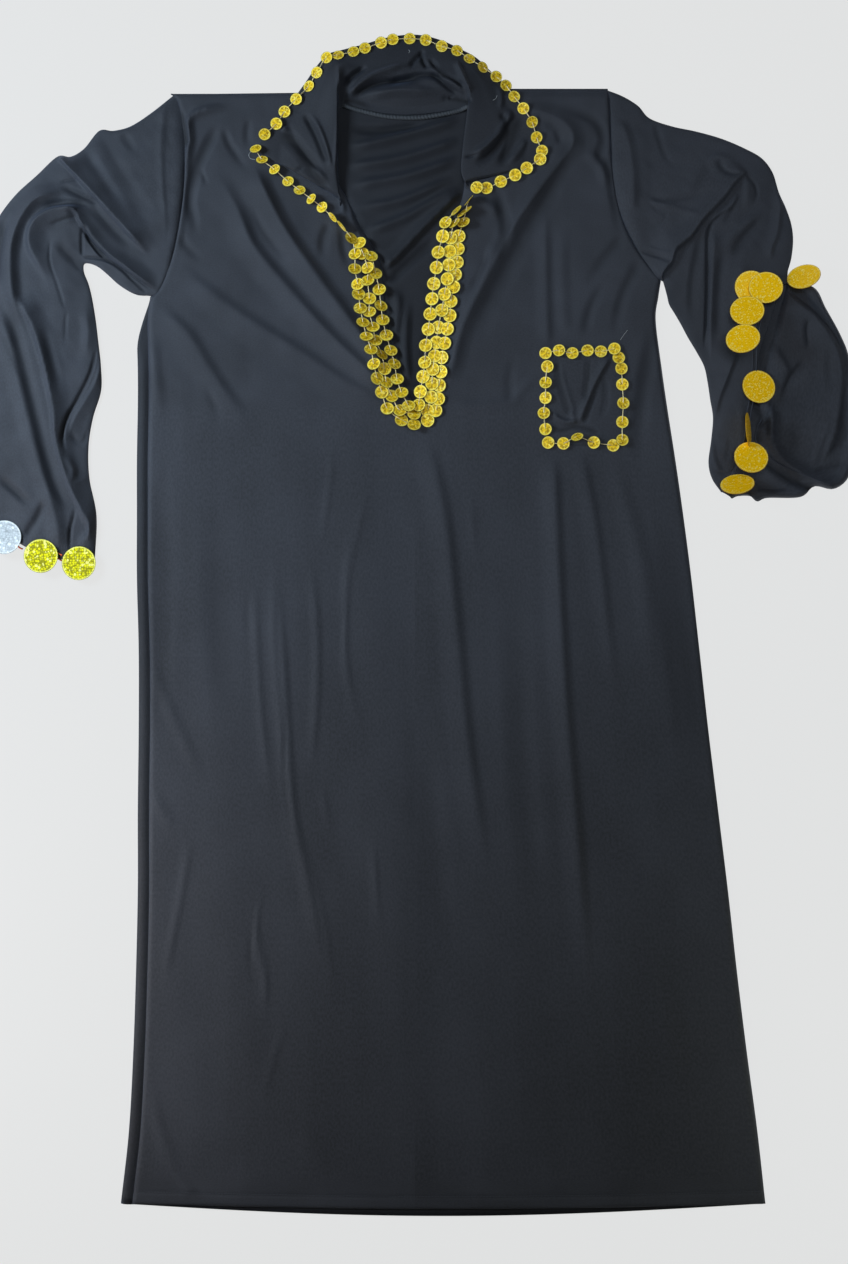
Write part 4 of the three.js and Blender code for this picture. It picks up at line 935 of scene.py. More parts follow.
def sparkle_group():
    """Small facets, each with its own tone and height, over a worn ground."""
    name = "sparkle"
    if name in bpy.data.node_groups:
        return bpy.data.node_groups[name]
    group, wires, given = new_group(
        name,
        [
            ("Vector", "Vector", None),
            ("Bright", "Color", (0.9, 0.7, 0.1, 1.0)),
            ("Deep", "Color", (0.3, 0.2, 0.02, 1.0)),
            ("Glint", "Color", (1.0, 0.95, 0.6, 1.0)),
            ("Density", "Float", 900.0),
            ("Shade", "Float", 0.5),
            ("Outline", "Float", 0.0),
        ],
    )
    cells = {"Vector": given["Vector"], "Scale": given["Density"], "Randomness": 0.6}
    facets = wires.add("ShaderNodeTexVoronoi", cells).outputs
    first, second, third = wires.add("ShaderNodeSeparateColor", {0: facets["Color"]}).outputs
    blots = wires.noise(given["Vector"], wires.times(given["Density"], 0.33), 3.0, 0.65)
    blots = wires.ramp(blots, (0.42, 0.0), (0.62, 1.0))
    dark = wires.times(first, wires.plus(0.35, blots))
    dark = wires.times(dark, wires.times(given["Shade"], 1.5), clamp=True)
    outline = wires.ramp(facets["Distance"], (0.36, 0.0), (0.62, 1.0))
    dark = wires.plus(dark, wires.times(outline, given["Outline"]), clamp=True)
    tone = wires.mix(dark, given["Bright"], given["Deep"])
    glint = wires.ramp(second, (0.82, 0.0), (0.9, 1.0))
    tone = wires.mix(wires.times(glint, 0.75), tone, given["Glint"])
    rough = wires.plus(0.2, wires.times(third, 0.3))
    height = wires.plus(third, wires.times(dark, -0.6))
    wires.add("NodeGroupOutput", {"Color": tone, "Roughness": rough, "Height": height})
    return group


def new_material(name):
    material = bpy.data.materials.new(name)
    material.use_nodes = True
    material.node_tree.nodes.clear()
    wires = Wiring(material.node_tree)
    shader = wires.add("ShaderNodeBsdfPrincipled")
    wires.add("ShaderNodeOutputMaterial", {"Surface": shader.outputs[0]})
    return material, wires, shader


def cloth_map(wires):
    return wires.add("ShaderNodeUVMap", uv_map="cloth").outputs[0]


def rgba(colour, gain=1.0):
    return (colour[0] * gain, colour[1] * gain, colour[2] * gain, 1.0)


def jersey_material(name="jersey_cloth", gain=1.0, softness=0.62):
    if name in bpy.data.materials:
        return bpy.data.materials[name]
    colours = bpy.context.scene.dress_colours
    material, wires, shader = new_material(name)
    inputs = {
        "Vector": cloth_map(wires),
        "Dark": rgba(colours.jersey, gain),
        "Worn": rgba(colours.jersey_worn, gain),
        "Wales": WALES,
        "Softness": softness,
    }
    knit = wires.add("ShaderNodeGroup", inputs, node_tree=knit_group()).outputs
    # Painted shade: the knit's colour darkens with the depth of the trough it lies in.
    painted_crease_shade = wires.add("ShaderNodeAttribute", attribute_name="painted_crease_shade").outputs["Fac"]
    shaded = wires.times(painted_crease_shade, CREASE_SHADE_SHARE)
    wires.feed(
        shader,
        {
            "Base Color": wires.mix(shaded, knit["Color"], rgba(colours.jersey, CREASE_SHADE_TONE * gain)),
            "Roughness": knit["Roughness"],
            "Specular IOR Level": 0.16,
            "Sheen Weight": 0.1,
            "Sheen Roughness": 0.45,
            "Sheen Tint": (0.42, 0.53, 0.78, 1.0),
        },
    )
    wires.bump(shader, knit["Height"], 0.5, 0.00025)
    return material


# ---------------------------------------------------------------- body panels
def back_cut(v):
    """Ends of the back panel's rows, from the shoulders down, and how far they dip."""
    share = np.clip(v / BACK_ARM, 0.0, 1.0)
    left_x, left_y = armhole_points("left", share)
    right_x, right_y = armhole_points("right", share)
    below = v > BACK_ARM
    down = np.clip((v - BACK_ARM) / (1.0 - BACK_ARM), 0.0, 1.0)
    left_arm, right_arm = (ARMHOLES[side].inner[1] for side in ("left", "right"))
    left_level = left_arm + (HEM - left_arm) * down
    right_level = right_arm + (HEM - right_arm) * down
    lead = BACK_LEAD * ease(down / 0.06)
    left_x = np.where(below, SIDE_LEFT(left_level) - lead, left_x)
    left_y = np.where(below, left_level, left_y)
    right_x = np.where(below, SIDE_RIGHT(right_level) - 1.0, right_x)
    right_y = np.where(below, right_level, right_y)
    return left_x, left_y, right_x, right_y, np.clip(1.0 - v / 0.06, 0.0, 1.0)


def neck_opening(x, y):
    """1 inside the neck opening, down to 0 under the front panel's edges."""
    margin, blend = 6, 14
    end, fade = 240, 40
    across = ease((x - NECK_LEFT(y) + margin) / blend) * ease((NECK_RIGHT(y) + margin - x) / blend)
    return across * ease((y - end) / fade)


def back_panel_points(u, v):
    # Half of the rows go to the part that shows in the neck opening.
    v = np.interp(v, (0.0, 0.5, 1.0), (0.0, 0.3, 1.0))
    left_x, left_y, right_x, right_y, dip = back_cut(v)
    x = left_x + (right_x - left_x) * u
    away = (x - BACK_NECK_MIDDLE) / BACK_NECK_HALF
    y = left_y + (right_y - left_y) * u
    y = y - BACK_NECK_DIP * dip * np.maximum(0.0, 1.0 - away**2)
    y = y - hem_drop(x, left_y, left_x, right_x, BACK_HEM_DROP)
    seen = neck_opening(x, y)
    waves = ripple(x, y, seed=3, spacing=60, height=0.8, heading=0.5, spread=0.8)
    z = BACK_TOP + fold_height(BACK_FOLDS, x, y) * seen
    z = z + seen * (2.4 + waves)
    z = soft_floor(z, floor=1.1, softness=0.15)
    # Beside the front panel, on the left, the edge shows as a low roll.
    edge, crown = 0.9, 2.6
    reach = BACK_LEAD + 1.5
    lead = x - (SIDE_LEFT(y) - BACK_LEAD)
    roll = ease((340 - y) / 60) * np.where(lead < reach, 1.0, 0.0)
    rolled = edge + crown * round_over(lead / 5.0) * ease((reach - lead) / 3.0)
    z = np.where(roll > 0, z + (np.maximum(rolled, edge) - z) * roll, z)
    return x, y, z


def back_panel(material):
    bm = bmesh.new()
    add_cloth_grid(bm, 186, 210, (0.68, 1.27), back_panel_points)
    face_up(bm)
    piece = finish_cloth(bm, "back_cloth", material, BACK_FOLDS)
    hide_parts("back_panel")


def front_row(side, v):
    """Where the front panel's row v ends at the side, and at the middle.

    The rows lie closer above the end of the slit, and at the hem.
    """
    v = np.interp(v, (0.0, 0.52, 0.94, 1.0), (0.0, FRONT_SLIT, 0.975, 1.0))
    reader = SIDE_LEFT if side == "left" else SIDE_RIGHT
    neck = NECK_LEFT if side == "left" else NECK_RIGHT
    arm_end = ARMHOLES[side].inner[1]
    side_x, side_y = armhole_points(side, np.clip(v / FRONT_ARM, 0.0, 1.0))
    past_arm = np.clip((v - FRONT_ARM) / (FRONT_SLIT - FRONT_ARM), 0, 1)
    middle = arm_end + (SLIT_END - arm_end) * past_arm
    low = SLIT_END + (HEM - SLIT_END) * np.clip((v - FRONT_SLIT) / (1.0 - FRONT_SLIT), 0, 1)
    level = np.where(v < FRONT_ARM, side_y, np.where(v < FRONT_SLIT, middle, low))
    side_x = np.where(v < FRONT_ARM, side_x, reader(level))
    inner_x = np.where(v < FRONT_SLIT, neck(level), 0.0)
    return side_x, inner_x, level


def front_height(x, y, from_side, from_slit, from_hem, from_shoulder):
    """Heights of the front's upper face: folds and waves, rounded off at its edges."""
    chest = ease((y - 150) / 160)  # 0 on the skirt, 1 on the chest
    loft = 0.7 + 1.7 * chest
    along = 0.5 * math.pi  # waves that run down the skirt
    z = FRONT_TOP + loft + fold_height(FRONT_FOLDS, x, y)
    z = z + ripple(x, y, seed=11, spacing=90, height=0.45)
    z = z + ripple(x, y, seed=12, spacing=150, height=0.9, heading=along, spread=0.25) * (1 - chest)
    z = z + ripple(x, y, seed=13, spacing=34, height=0.22) * (0.35 + chest)
    z = soft_floor(z, floor=2.75)
    border = 1.5 + 1.3 * ease((y - 380) / 20)  # thicker beside the armholes
    z = round_edge(z, low=border, distance=from_side, width=6.0)
    slit = ease((y - SLIT_END) / 12)
    z = z - slit * (z - SLIT_EDGE) * (1.0 - round_over(from_slit / 15.0))
    z = round_edge(z, low=2.3, distance=from_hem + 0.5, width=5.0)
    seam = np.exp(-(((from_hem - HEM_SEAM) / 1.5) ** 2))
    z = z - 0.55 * seam
    return round_edge(z, low=2.5, distance=from_shoulder + 1.0, width=8.0)


def front_half(side):
    def place(u, v):
        side_x, inner_x, level = front_row(side, v)
        share = u if side == "left" else 1.0 - u
        x = side_x + (inner_x - side_x) * share
        y = level - hem_drop(x, level, SIDE_LEFT(level), SIDE_RIGHT(level), FRONT_HEM_DROP)
        from_side = np.abs(x - side_x)
        from_slit = np.abs(x - inner_x)
        return x, y, front_height(x, y, from_side, from_slit, level - HEM, SHOULDER - level)

    return place


def front_panel(material):
    bm = bmesh.new()
    for side in ("left", "right"):
        add_cloth_grid(bm, 104, 232, (0.32, 1.245), front_half(side))
    bmesh.ops.remove_doubles(bm, verts=bm.verts, dist=0.00001)
    face_up(bm)
    piece = finish_cloth(bm, "front_cloth", material, FRONT_FOLDS, 0.1)
    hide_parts("front_panel")


# ---------------------------------------------------------------- sleeves
def sleeve_table(side):
    """A fine table of stations from the armhole to the cuff, with distances gone."""
    hole = ARMHOLES[side]
    outward = SLEEVE_TUCK if side == "left" else -SLEEVE_TUCK
    cut = LEFT_SLEEVE if side == "left" else RIGHT_SLEEVE
    first = (hole.outer[0] + outward, hole.outer[1], hole.inner[0] + outward, hole.inner[1])
    table = smooth_path([(*first, hole.bow, 0), *cut], SLEEVE_STATIONS)
    middle = 0.5 * (table[:, 0:2] + table[:, 2:4])
    gone = np.concatenate([[0.0], np.cumsum(np.hypot(*np.diff(middle, axis=0).T))])
    return table, gone


def read_path(points, share):
    """Places at shares of the length of a smooth path through the points."""
    path = smooth_path(points, 200)
    gone, _ = along_path(path)
    return np.interp(share, gone, path[:, 0]), np.interp(share, gone, path[:, 1])


def sleeve_points(side, upper_share, folds):
    """Places of a sleeve's flat tube; its upper layer takes the first share of u."""
    table, gone = sleeve_table(side)
    hole = ARMHOLES[side]
    numbers = np.arange(SLEEVE_STATIONS)

    def place(u, v):
        row = v * (SLEEVE_STATIONS - 1)
        columns = [np.interp(row, numbers, table[:, k]) for k in range(6)]
        distance = np.interp(row, numbers, gone)
        upper = u <= upper_share
        share = sewn_share(np.where(upper, u / upper_share, (1.0 - u) / (1.0 - upper_share)))
        x, y = station_points(columns, hole.skew, hole.fullness, share)
        width = np.hypot(columns[2] - columns[0], columns[3] - columns[1])
        from_edge = np.minimum(share, 1.0 - share) * width
        opening = np.zeros_like(x)
        if side == "right":
            opening = ease((v - LIP_START) / (1.0 - LIP_START)) * upper
            lip_x, lip_y = read_path(CUFF_LIP, share)
            x = x + (lip_x - x) * opening
            y = y + (lip_y - y) * opening
        crown = SLEEVE_PUFF * np.sin(np.pi * share) * (1.0 - 0.5 * opening)
        top = SLEEVE_TOP + crown + fold_height(folds, x, y)
        top = top + ripple(x, y, seed=21, spacing=46, height=0.8)
        top = top + ripple(x, y, seed=22, spacing=20, height=0.25)
        top = soft_floor(top, floor=3.0)
        bend = SLEEVE_BEND + 0.55 * (top - SLEEVE_TOP)
        from_tuck = distance - 0.7 * SLEEVE_TUCK
        z_upper = round_edge(top, low=EDGE_MIDDLE, distance=from_edge, width=bend)
        z_upper = round_edge(z_upper, low=1.7, distance=from_tuck, width=11.0)
        z_under = EDGE_MIDDLE * (1.0 - round_over(from_edge / SLEEVE_BEND))
        return x, y, np.where(upper, z_upper, z_under)

    return place


def cuff_lining_points(u, v):
    """The lower layer of the right cuff past the lip, with its inner side up."""
    share = sewn_share(u)
    last = RIGHT_SLEEVE[-1]
    hole = ARMHOLES["right"]
    start_x, start_y = station_points(last, hole.skew, hole.fullness, share)
    end_x, end_y = read_path(CUFF_MOUTH, share)
    x = start_x + (end_x - start_x) * v
    y = start_y + (end_y - start_y) * v
    out = np.hypot(end_x - x, end_y - y)
    width = np.hypot(last[2] - last[0], last[3] - last[1])
    from_edge = np.minimum(share, 1.0 - share) * width
    begin = EDGE_MIDDLE * (1.0 - round_over(from_edge / SLEEVE_BEND))
    rise = fold_height(CUFF_LINING_FOLDS, x, y) + ripple(x, y, seed=31, spacing=40, height=0.8)
    bead = 3.2 * ease(out / 4.0) * ease((16.0 - out) / 9.0)  # the rolled hem of the mouth
    rise = rise + bead
    rise = soft_floor(rise + 3.4, floor=0.4, softness=0.3) * ease(v / 0.15)
    return x, y, begin * (1 - v) + rise * round_over((out + 0.4) / 4.0)


def sleeve(side, material):
    bm = bmesh.new()
    if side == "left":
        folds = LEFT_SLEEVE_FOLDS
        add_cloth_grid(bm, 150, 215, (0.44, 0.62), sleeve_points(side, 0.68, folds))
    else:
        # The lining has the under layer's columns, so that their points meet.
        under = 108
        columns = 208
        place = sleeve_points(side, 1 - under / columns, RIGHT_SLEEVE_FOLDS)
        add_cloth_grid(bm, columns, 180, (0.44, 0.55), place)
        add_cloth_grid(bm, under, 60, (0.22, 0.12), cuff_lining_points)
        folds = RIGHT_SLEEVE_FOLDS + CUFF_LINING_FOLDS
    bmesh.ops.remove_doubles(bm, verts=bm.verts, dist=SEAM_MERGE)
    bmesh.ops.recalc_face_normals(bm, faces=bm.faces)
    bm.normal_update()
    crown = max(bm.faces, key=lambda face: face.calc_center_median().z)
    if crown.normal.z < 0:
        bmesh.ops.reverse_faces(bm, faces=bm.faces)
    piece = finish_cloth(bm, f"sleeve_{side}_cloth", material, folds)
    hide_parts(f"sleeve_{side}")
    return piece


# ---------------------------------------------------------------- collar and neck
def collar_table():
    """A fine table of the collar's sections: seam, roll, a place between, and edge."""
    rows = []
    for seam_x, seam_y, *rest in COLLAR:
        roll = np.array(rest[:3])
        edge = np.array(rest[3:])
        between = roll + np.array((0.5, 0.5, 0.62)) * (edge - roll)
        rows.append((seam_x, seam_y, 3.0, *roll, *between, *edge))
    return smooth_path(rows, COLLAR_SECTIONS)


def collar_points(ground, u, v):
    rows = collar_table()
    numbers = np.arange(COLLAR_SECTIONS)
    at = v * (COLLAR_SECTIONS - 1)
    found = np.column_stack([np.interp(at, numbers, rows[:, k]) for k in range(12)])
    points = found.reshape(-1, 4, 3)
    padded = np.concatenate(
        [2 * points[:, :1] - points[:, 1:2], points, 2 * points[:, 3:] - points[:, 2:3]], axis=1
    )
    start = np.minimum((u * 3).astype(int), 2)
    beside = (padded[np.arange(len(u)), start + k] for k in range(4))
    x, y, z = catmull_rom(*beside, (u * 3 - start)[:, None]).T
    out = 1.0 - u  # share of the width from the outer edge
    z = COLLAR_LOFT * z + COLLAR_FULLNESS * ease(u / 0.3) * ease(out / 0.35)
    below = ground.heights(x, y)
    z = z + fold_height(COLLAR_FOLDS, x, y) * ease(out / 0.15)
    z = z + ripple(x, y, seed=41, spacing=40, height=0.5) * ease(u / 0.4)
    # Distances from the outer edge and the two ends; there the collar lies down.
    edge = np.minimum(out * COLLAR_WIDTH, np.minimum(v, 1.0 - v) * COLLAR_LENGTH)
    rest = below + COLLAR_CLEAR - 0.9 * (1.0 - round_over(edge / 3.0))
    flat = rest + (z - rest) * ease(edge / 10.0)
    return x, y, np.maximum(flat, rest)


def collar(material):
    ground = Ground(["front_cloth", "back_cloth"])
    bm = bmesh.new()
    add_cloth_grid(bm, 58, 380, (0.11, 0.72), lambda u, v: collar_points(ground, u, v))
    face_up(bm)
    piece = finish_cloth(bm, "collar_cloth", material, COLLAR_FOLDS, 0.3)
    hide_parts("collar")


def neck_roll(material):
    """A rolled overlock seam: a cord with a raised thread wound round it."""
    path = smooth_path(NECK_ROLL_PATH, 220)
    heights = Ground(["back_cloth", "collar_cloth"]).heights(path[:, 0], path[:, 1])
    near = 15  # places to each side over which the heights are averaged
    window = np.ones(2 * near + 1) / (2 * near + 1)
    height = np.convolve(np.pad(heights, near, mode="edge"), window, mode="valid")
    _, length = along_path(path)
    slope = np.gradient(path[:, 1]) / np.gradient(path[:, 0])

    def place(u, v):
        at = v * (len(path) - 1)
        columns = (path[:, 0], path[:, 1], height, slope)
        x, y, z, steepness = (np.interp(at, np.arange(len(path)), column) for column in columns)
        heading = np.arctan(steepness)
        angle = 2 * np.pi * u
        wound = 0.25 * np.cos(angle - 2 * np.pi * v * length / ROLL_PITCH)
        taper = np.sqrt(np.clip(np.minimum(v, 1 - v) * 60, 0.05, 1.0))
        radius = (ROLL_RADIUS + wound) * taper
        side = radius * np.cos(angle)
        z = z + ROLL_LIFT
        x = x - side * np.sin(heading)
        y = y + side * np.cos(heading)
        return x, y, z + radius * np.sin(angle)

    bm = bmesh.new()
    add_cloth_grid(bm, 14, 260, (0.014, 0.15), place)
    bmesh.ops.remove_doubles(bm, verts=bm.verts, dist=SEAM_MERGE)
    bmesh.ops.holes_fill(bm, edges=[edge for edge in bm.edges if edge.is_boundary], sides=20)
    bmesh.ops.recalc_face_normals(bm, faces=bm.faces)
    piece = finish_mesh(bm, "neck_seam_roll", material)
    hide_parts("back_neck_roll")


def chest_pocket(material):
    ground = Ground(["front_cloth"])
    left, top, width, height = POCKET

    def place(u, v):
        x = left + width * u
        y = top - height * v
        edge = np.minimum(np.minimum(u, 1 - u) * width, np.minimum(v, 1 - v) * height)
        z = ground.heights(x, y) + 1.0 * round_over((edge + 0.3) / 2.5)
        rise = np.maximum(fold_height(POCKET_FOLDS, x, y) + 0.8 * ease(edge / 14), 0.0)
        return x, y, z + rise * ease(edge / 7)

    bm = bmesh.new()
    add_cloth_grid(bm, 52, 62, (width * MM, height * MM), place)
    face_up(bm)
    piece = finish_cloth(bm, "pocket_cloth", material, POCKET_FOLDS)
    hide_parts("chest_pocket")


# ---------------------------------------------------------------- trims
def face_places(wires):
    """The map of a disc's face, the place on its own disc, and the disc's number."""
    face = cloth_map(wires)
    across, y, _ = wires.axes(face)
    nearest = wires.math("ROUND", wires.math("DIVIDE", across, MAP_STEP))
    x = wires.minus(across, wires.times(nearest, MAP_STEP))
    squares = wires.plus(wires.times(x, x), wires.times(y, y))
    return face, x, y, wires.math("SQRT", squares), nearest


def coin_material():
    name = "stamped_gold"
    if name in bpy.data.materials:
        return bpy.data.materials[name]
    colours = bpy.context.scene.dress_colours
    material, wires, shader = new_material(name)
    face, x, y, out, nearest = face_places(wires)
    angle = wires.math("ARCTAN2", y, x)
    turned = wires.plus(wires.times(angle, 6.0), nearest)
    petals = wires.times(wires.plus(wires.math("SINE", turned), 1.0), 0.5)
    waist = wires.minus(1.0, wires.math("ABSOLUTE", wires.minus(out, 0.52)))
    petals = wires.times(petals, wires.math("POWER", waist, 5.0))
    rim = wires.ramp(out, (0.78, 0.0), (0.86, 1.0))
    boss = wires.ramp(out, (0.1, 1.0), (0.24, 0.0))
    inputs = {
        "Vector": face,
        "Bright": rgba(colours.coin),
        "Deep": rgba(colours.coin_deep),
        "Glint": rgba(colours.coin_glint),
        "Density": 4.2,
        "Shade": 0.75,
    }
    sparkle = wires.add("ShaderNodeGroup", inputs, node_tree=sparkle_group()).outputs
    pressed = wires.times(petals, 0.75, clamp=True)
    tone = wires.mix(pressed, sparkle["Color"], rgba(colours.coin_deep))
    # Painted highlight: the raised rim is lightened towards the glint colour.
    tone = wires.mix(wires.times(rim, 0.75), tone, rgba(colours.coin_glint))
    # Painted shadow: the outer edge darkens like a contact shadow round each coin.
    edge = wires.ramp(out, (0.9, 0.0), (0.97, 0.85))
    wires.feed(
        shader,
        {
            "Base Color": wires.mix(edge, tone, rgba(colours.coin_deep, 0.4)),
            "Roughness": wires.plus(sparkle["Roughness"], 0.2),
            "Metallic": 0.16,
            "Specular IOR Level": 0.12,
        },
    )
    raised = wires.minus(wires.plus(rim, boss), wires.times(petals, 1.2))
    wires.bump(shader, wires.plus(raised, wires.times(sparkle["Height"], 0.5)), 0.5, 0.0002)
    return material


def glitter_material(name, bright, deep, glint, shade, outline, density):
    if name in bpy.data.materials:
        return bpy.data.materials[name]
    material, wires, shader = new_material(name)
    face, _, _, out, _ = face_places(wires)
    inputs = {
        "Vector": face,
        "Bright": rgba(bright),
        "Deep": rgba(deep),
        "Glint": rgba(glint),
        "Density": density,
        "Shade": shade,
        "Outline": outline,
    }
    sparkle = wires.add("ShaderNodeGroup", inputs, node_tree=sparkle_group()).outputs
    # Painted highlight: a thin light ring inside the rim, in the glint colour.
    rim = wires.ramp(out, (0.9, 0.0), (0.94, 0.6))
    tone = wires.mix(rim, sparkle["Color"], rgba(glint))
    # Painted shadow: the outer edge darkens like a contact shadow round each disc.
    edge = wires.ramp(out, (0.96, 0.0), (0.99, 0.9))
    wires.feed(
        shader,
        {
            "Base Color": wires.mix(edge, tone, rgba(deep, 0.6)),
            "Roughness": sparkle["Roughness"],
            "Metallic": 0.08,
            "Specular IOR Level": 0.15,
            "Coat Weight": 0.05,
            "Coat Roughness": 0.2,
        },
    )
    wires.bump(shader, sparkle["Height"], 0.35, 0.0002)
    return material


def cord_material(name, colour, metallic, roughness):
    if name in bpy.data.materials:
        return bpy.data.materials[name]
    material, wires, shader = new_material(name)
    strand = cloth_map(wires)
    across, along, _ = wires.axes(strand)
    ply = wires.math("PINGPONG", wires.plus(across, wires.times(along, 700.0)), 0.5)
    fuzz = wires.noise(strand, 300.0, 3.0)
    shade = wires.plus(wires.times(ply, 1.1), wires.times(fuzz, 0.45), clamp=True)
    tone = wires.mix(shade, rgba(colour, 0.35), rgba(colour, 1.25))
    wires.feed(shader, {"Base Color": tone, "Metallic": metallic, "Roughness": roughness})
    wires.bump(shader, wires.plus(ply, fuzz), 0.6, 0.0002)
    return material


def disc_template(radius, thickness, segments, crown):
    """A round stamped disc: rim, sunk ring and a crowned middle, walled underneath."""
    bm = bmesh.new()
    made = bmesh.ops.create_circle(bm, cap_ends=True, segments=segments, radius=radius)
    bm.faces.ensure_lookup_table()
    face = bm.faces[0]
    # Width and height of each ring from the edge inwards, as shares of the radius.
    for width, depth in ((0.03, 0.03), (0.12, 0.0), (0.05, -0.03), (0.3, crown)):
        bmesh.ops.inset_region(
            bm, faces=[face], thickness=width * radius, depth=depth * radius, use_even_offset=True
        )
    bmesh.ops.recalc_face_normals(bm, faces=bm.faces)
    bm.normal_update()
    if sum(each.normal.z for each in bm.faces) < 0:
        bmesh.ops.reverse_faces(bm, faces=bm.faces)
    bmesh.ops.solidify(bm, geom=bm.faces[:], thickness=thickness)
    bmesh.ops.recalc_face_normals(bm, faces=bm.faces)
    top = max(vert.co.z for vert in made["verts"] if vert.is_valid)
    bmesh.ops.translate(bm, vec=(0.0, 0.0, -top), verts=bm.verts)
    face_map = bm.loops.layers.uv.new("cloth")
    for each in bm.faces:
        for loop in each.loops:
            loop[face_map].uv = (loop.vert.co.x / radius, loop.vert.co.y / radius)
    return end_mesh(bm, "disc_template")


def add_copy(bm, template, matrix, number):
    """Adds a disc to bm; its map is shifted so that no two discs look the same."""
    verts_before = len(bm.verts)
    faces_before = len(bm.faces)
    bm.from_mesh(template)
    bm.verts.ensure_lookup_table()
    bm.faces.ensure_lookup_table()
    bmesh.ops.transform(bm, matrix=matrix, verts=bm.verts[verts_before:])
    face_map = bm.loops.layers.uv.get("cloth")
    for face in bm.faces[faces_before:]:
        for loop in face.loops:
            loop[face_map].uv.x += MAP_STEP * number


def add_cord(bm, path, radius):
    """Adds a thin round cord along a path of millimetre points."""
    path = np.asarray(path, dtype=float)
    gone = np.concatenate([[0.0], np.cumsum(np.linalg.norm(np.diff(path, axis=0), axis=1))])
    steps = max(3, len(path) - 1)
    row = np.arange(len(path))
    tangent = np.gradient(path, axis=0)
    tangent /= np.linalg.norm(tangent, axis=1)[:, None]
    side = np.cross(tangent, np.array([0.0, 0.0, 1.0]))
    side /= np.maximum(np.linalg.norm(side, axis=1), 1e-6)[:, None]
    lift = np.cross(side, tangent)

    def place(u, v):
        at = v * (len(path) - 1)
        angle = 2 * np.pi * u
        parts = []
        for k in range(3):
            centre = np.interp(at, row, path[:, k])
            around = np.interp(at, row, side[:, k]) * np.cos(angle)
            around = around + np.interp(at, row, lift[:, k]) * np.sin(angle)
            parts.append(centre + radius * around)
        return parts

    start = len(bm.verts)
    add_cloth_grid(bm, CORD_SIDES, steps, (1.0, gone[-1] * MM), place)
    bm.verts.ensure_lookup_table()
    bmesh.ops.remove_doubles(bm, verts=bm.verts[start:], dist=CORD_MERGE)
    bm.verts.ensure_lookup_table()
    ring = set(bm.verts[start:])
    ends = [edge for edge in bm.edges if edge.is_boundary and edge.verts[0] in ring]
    bmesh.ops.holes_fill(bm, edges=ends, sides=CORD_SIDES + 2)


def shift(x, y, z):
    return Matrix.Translation((x * MM, y * MM, z * MM))


def turn(degrees, axis):
    return Matrix.Rotation(math.radians(degrees), 4, axis)


def lean(tilt, heading, spin):
    """Spun about its own axis, then tilted down towards the heading; spin in radians."""
    return turn(heading, "Z") @ turn(tilt, "Y") @ Matrix.Rotation(spin, 4, "Z")


# Coins of each row: tilt and heading in degrees, size, and how far the tilts differ.
COIN_LEANS = {
    "collar_trim_left": (34, 118, 13.6, 12),
    "collar_trim_back": (12, -90, 13.6, 10),
    "collar_trim_right": (6, 150, 14.4, 5),
    "neck_trim_left": (27, 98, 15.6, 6),
    "neck_trim_right": (6, 140, 15.6, 6),
    "pocket_trim": (8, 120, 14.4, 8),
}
# Coins that lean in their own way: centre x, y, tilt and heading.
STEEP_COINS = (
    (-92, 463, 72, 222), (-82, 453, 74, 220), (-168, 556, 34, -60), (-155, 568, 24, -80),
    (-56, 444, 40, -30), (46, 471, 58, 135), (53, 468, 62, 130), (60, 482, 76, 140),
    (57, 471, 64, 125), (34, 458, 38, 140), (44, 457, 46, 130), (54, 458, 40, 120),
    (181, 218, 55, 110), (-71, 440, 45, 40),
)


def coin_row(bm, cord, node, template, ground, start):
    """Adds a row's coins to bm and the string through them to cord."""
    tilt_all, heading, size, uneven = next(
        value for key, value in COIN_LEANS.items() if node.startswith(key)
    )
    centres = COINS[node]
    rng = np.random.default_rng(start * 7 + 5)
    radius = 0.5 * size
    string = []
    for i, (x, y) in enumerate(centres):
        tilt = tilt_all + rng.uniform(-uneven, uneven)
        way = heading + rng.uniform(-35, 35)
        for steep_x, steep_y, steep, steep_way in STEEP_COINS:
            if math.hypot(steep_x - x, steep_y - y) < SAME_COIN:
                tilt = steep
                way = steep_way
        level, slope_x, slope_y = ground.plane(x, y, radius * math.cos(math.radians(tilt)))
        hill = math.degrees(math.atan(math.hypot(slope_x, slope_y)))
        way_up = math.degrees(math.atan2(slope_y, slope_x))
        lay = turn(way_up, "Z") @ turn(-min(hill, STEEPEST_HILL), "Y") @ turn(-way_up, "Z")
        up = level + radius * math.sin(math.radians(tilt)) + COIN_LIFT + COIN_STEP * (i % 2)
        place = shift(x, y, up) @ lay @ lean(tilt, way, rng.uniform(0, 6.28))
        add_copy(bm, template, place @ Matrix.Scale(size / COIN_SIZE, 4), start + i)
        string.append((x, y, up - CORD_DROP))
    path = smooth_path(string, 4 * len(string))
    for i, (x, y, z) in enumerate(path):
        path[i, 2] = max(z, ground.height(x, y) + CORD_CLEAR)
    add_cord(cord, path, CORD_RADIUS)
    return start + len(centres)


def coin_trim(name, nodes, rests_on):
    """A piece of coins and a piece of the cord they hang on."""
    ground = Ground(rests_on)
    template = disc_template(0.5 * COIN_SIZE * MM, thickness=0.45 * MM, segments=18, crown=0.02)
    bm = bmesh.new()
    cord = bmesh.new()
    number = sum(map(ord, name)) % 50
    for node in nodes:
        number = coin_row(bm, cord, node, template, ground, number)
    bpy.data.meshes.remove(template)
    piece = finish_mesh(bm, name, coin_material())
    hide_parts(*nodes)
    colours = bpy.context.scene.dress_colours
    string = finish_mesh(cord, f"{name}_cord", cord_material("gold_cord", colours.coin_cord, 0.5, 0.4))


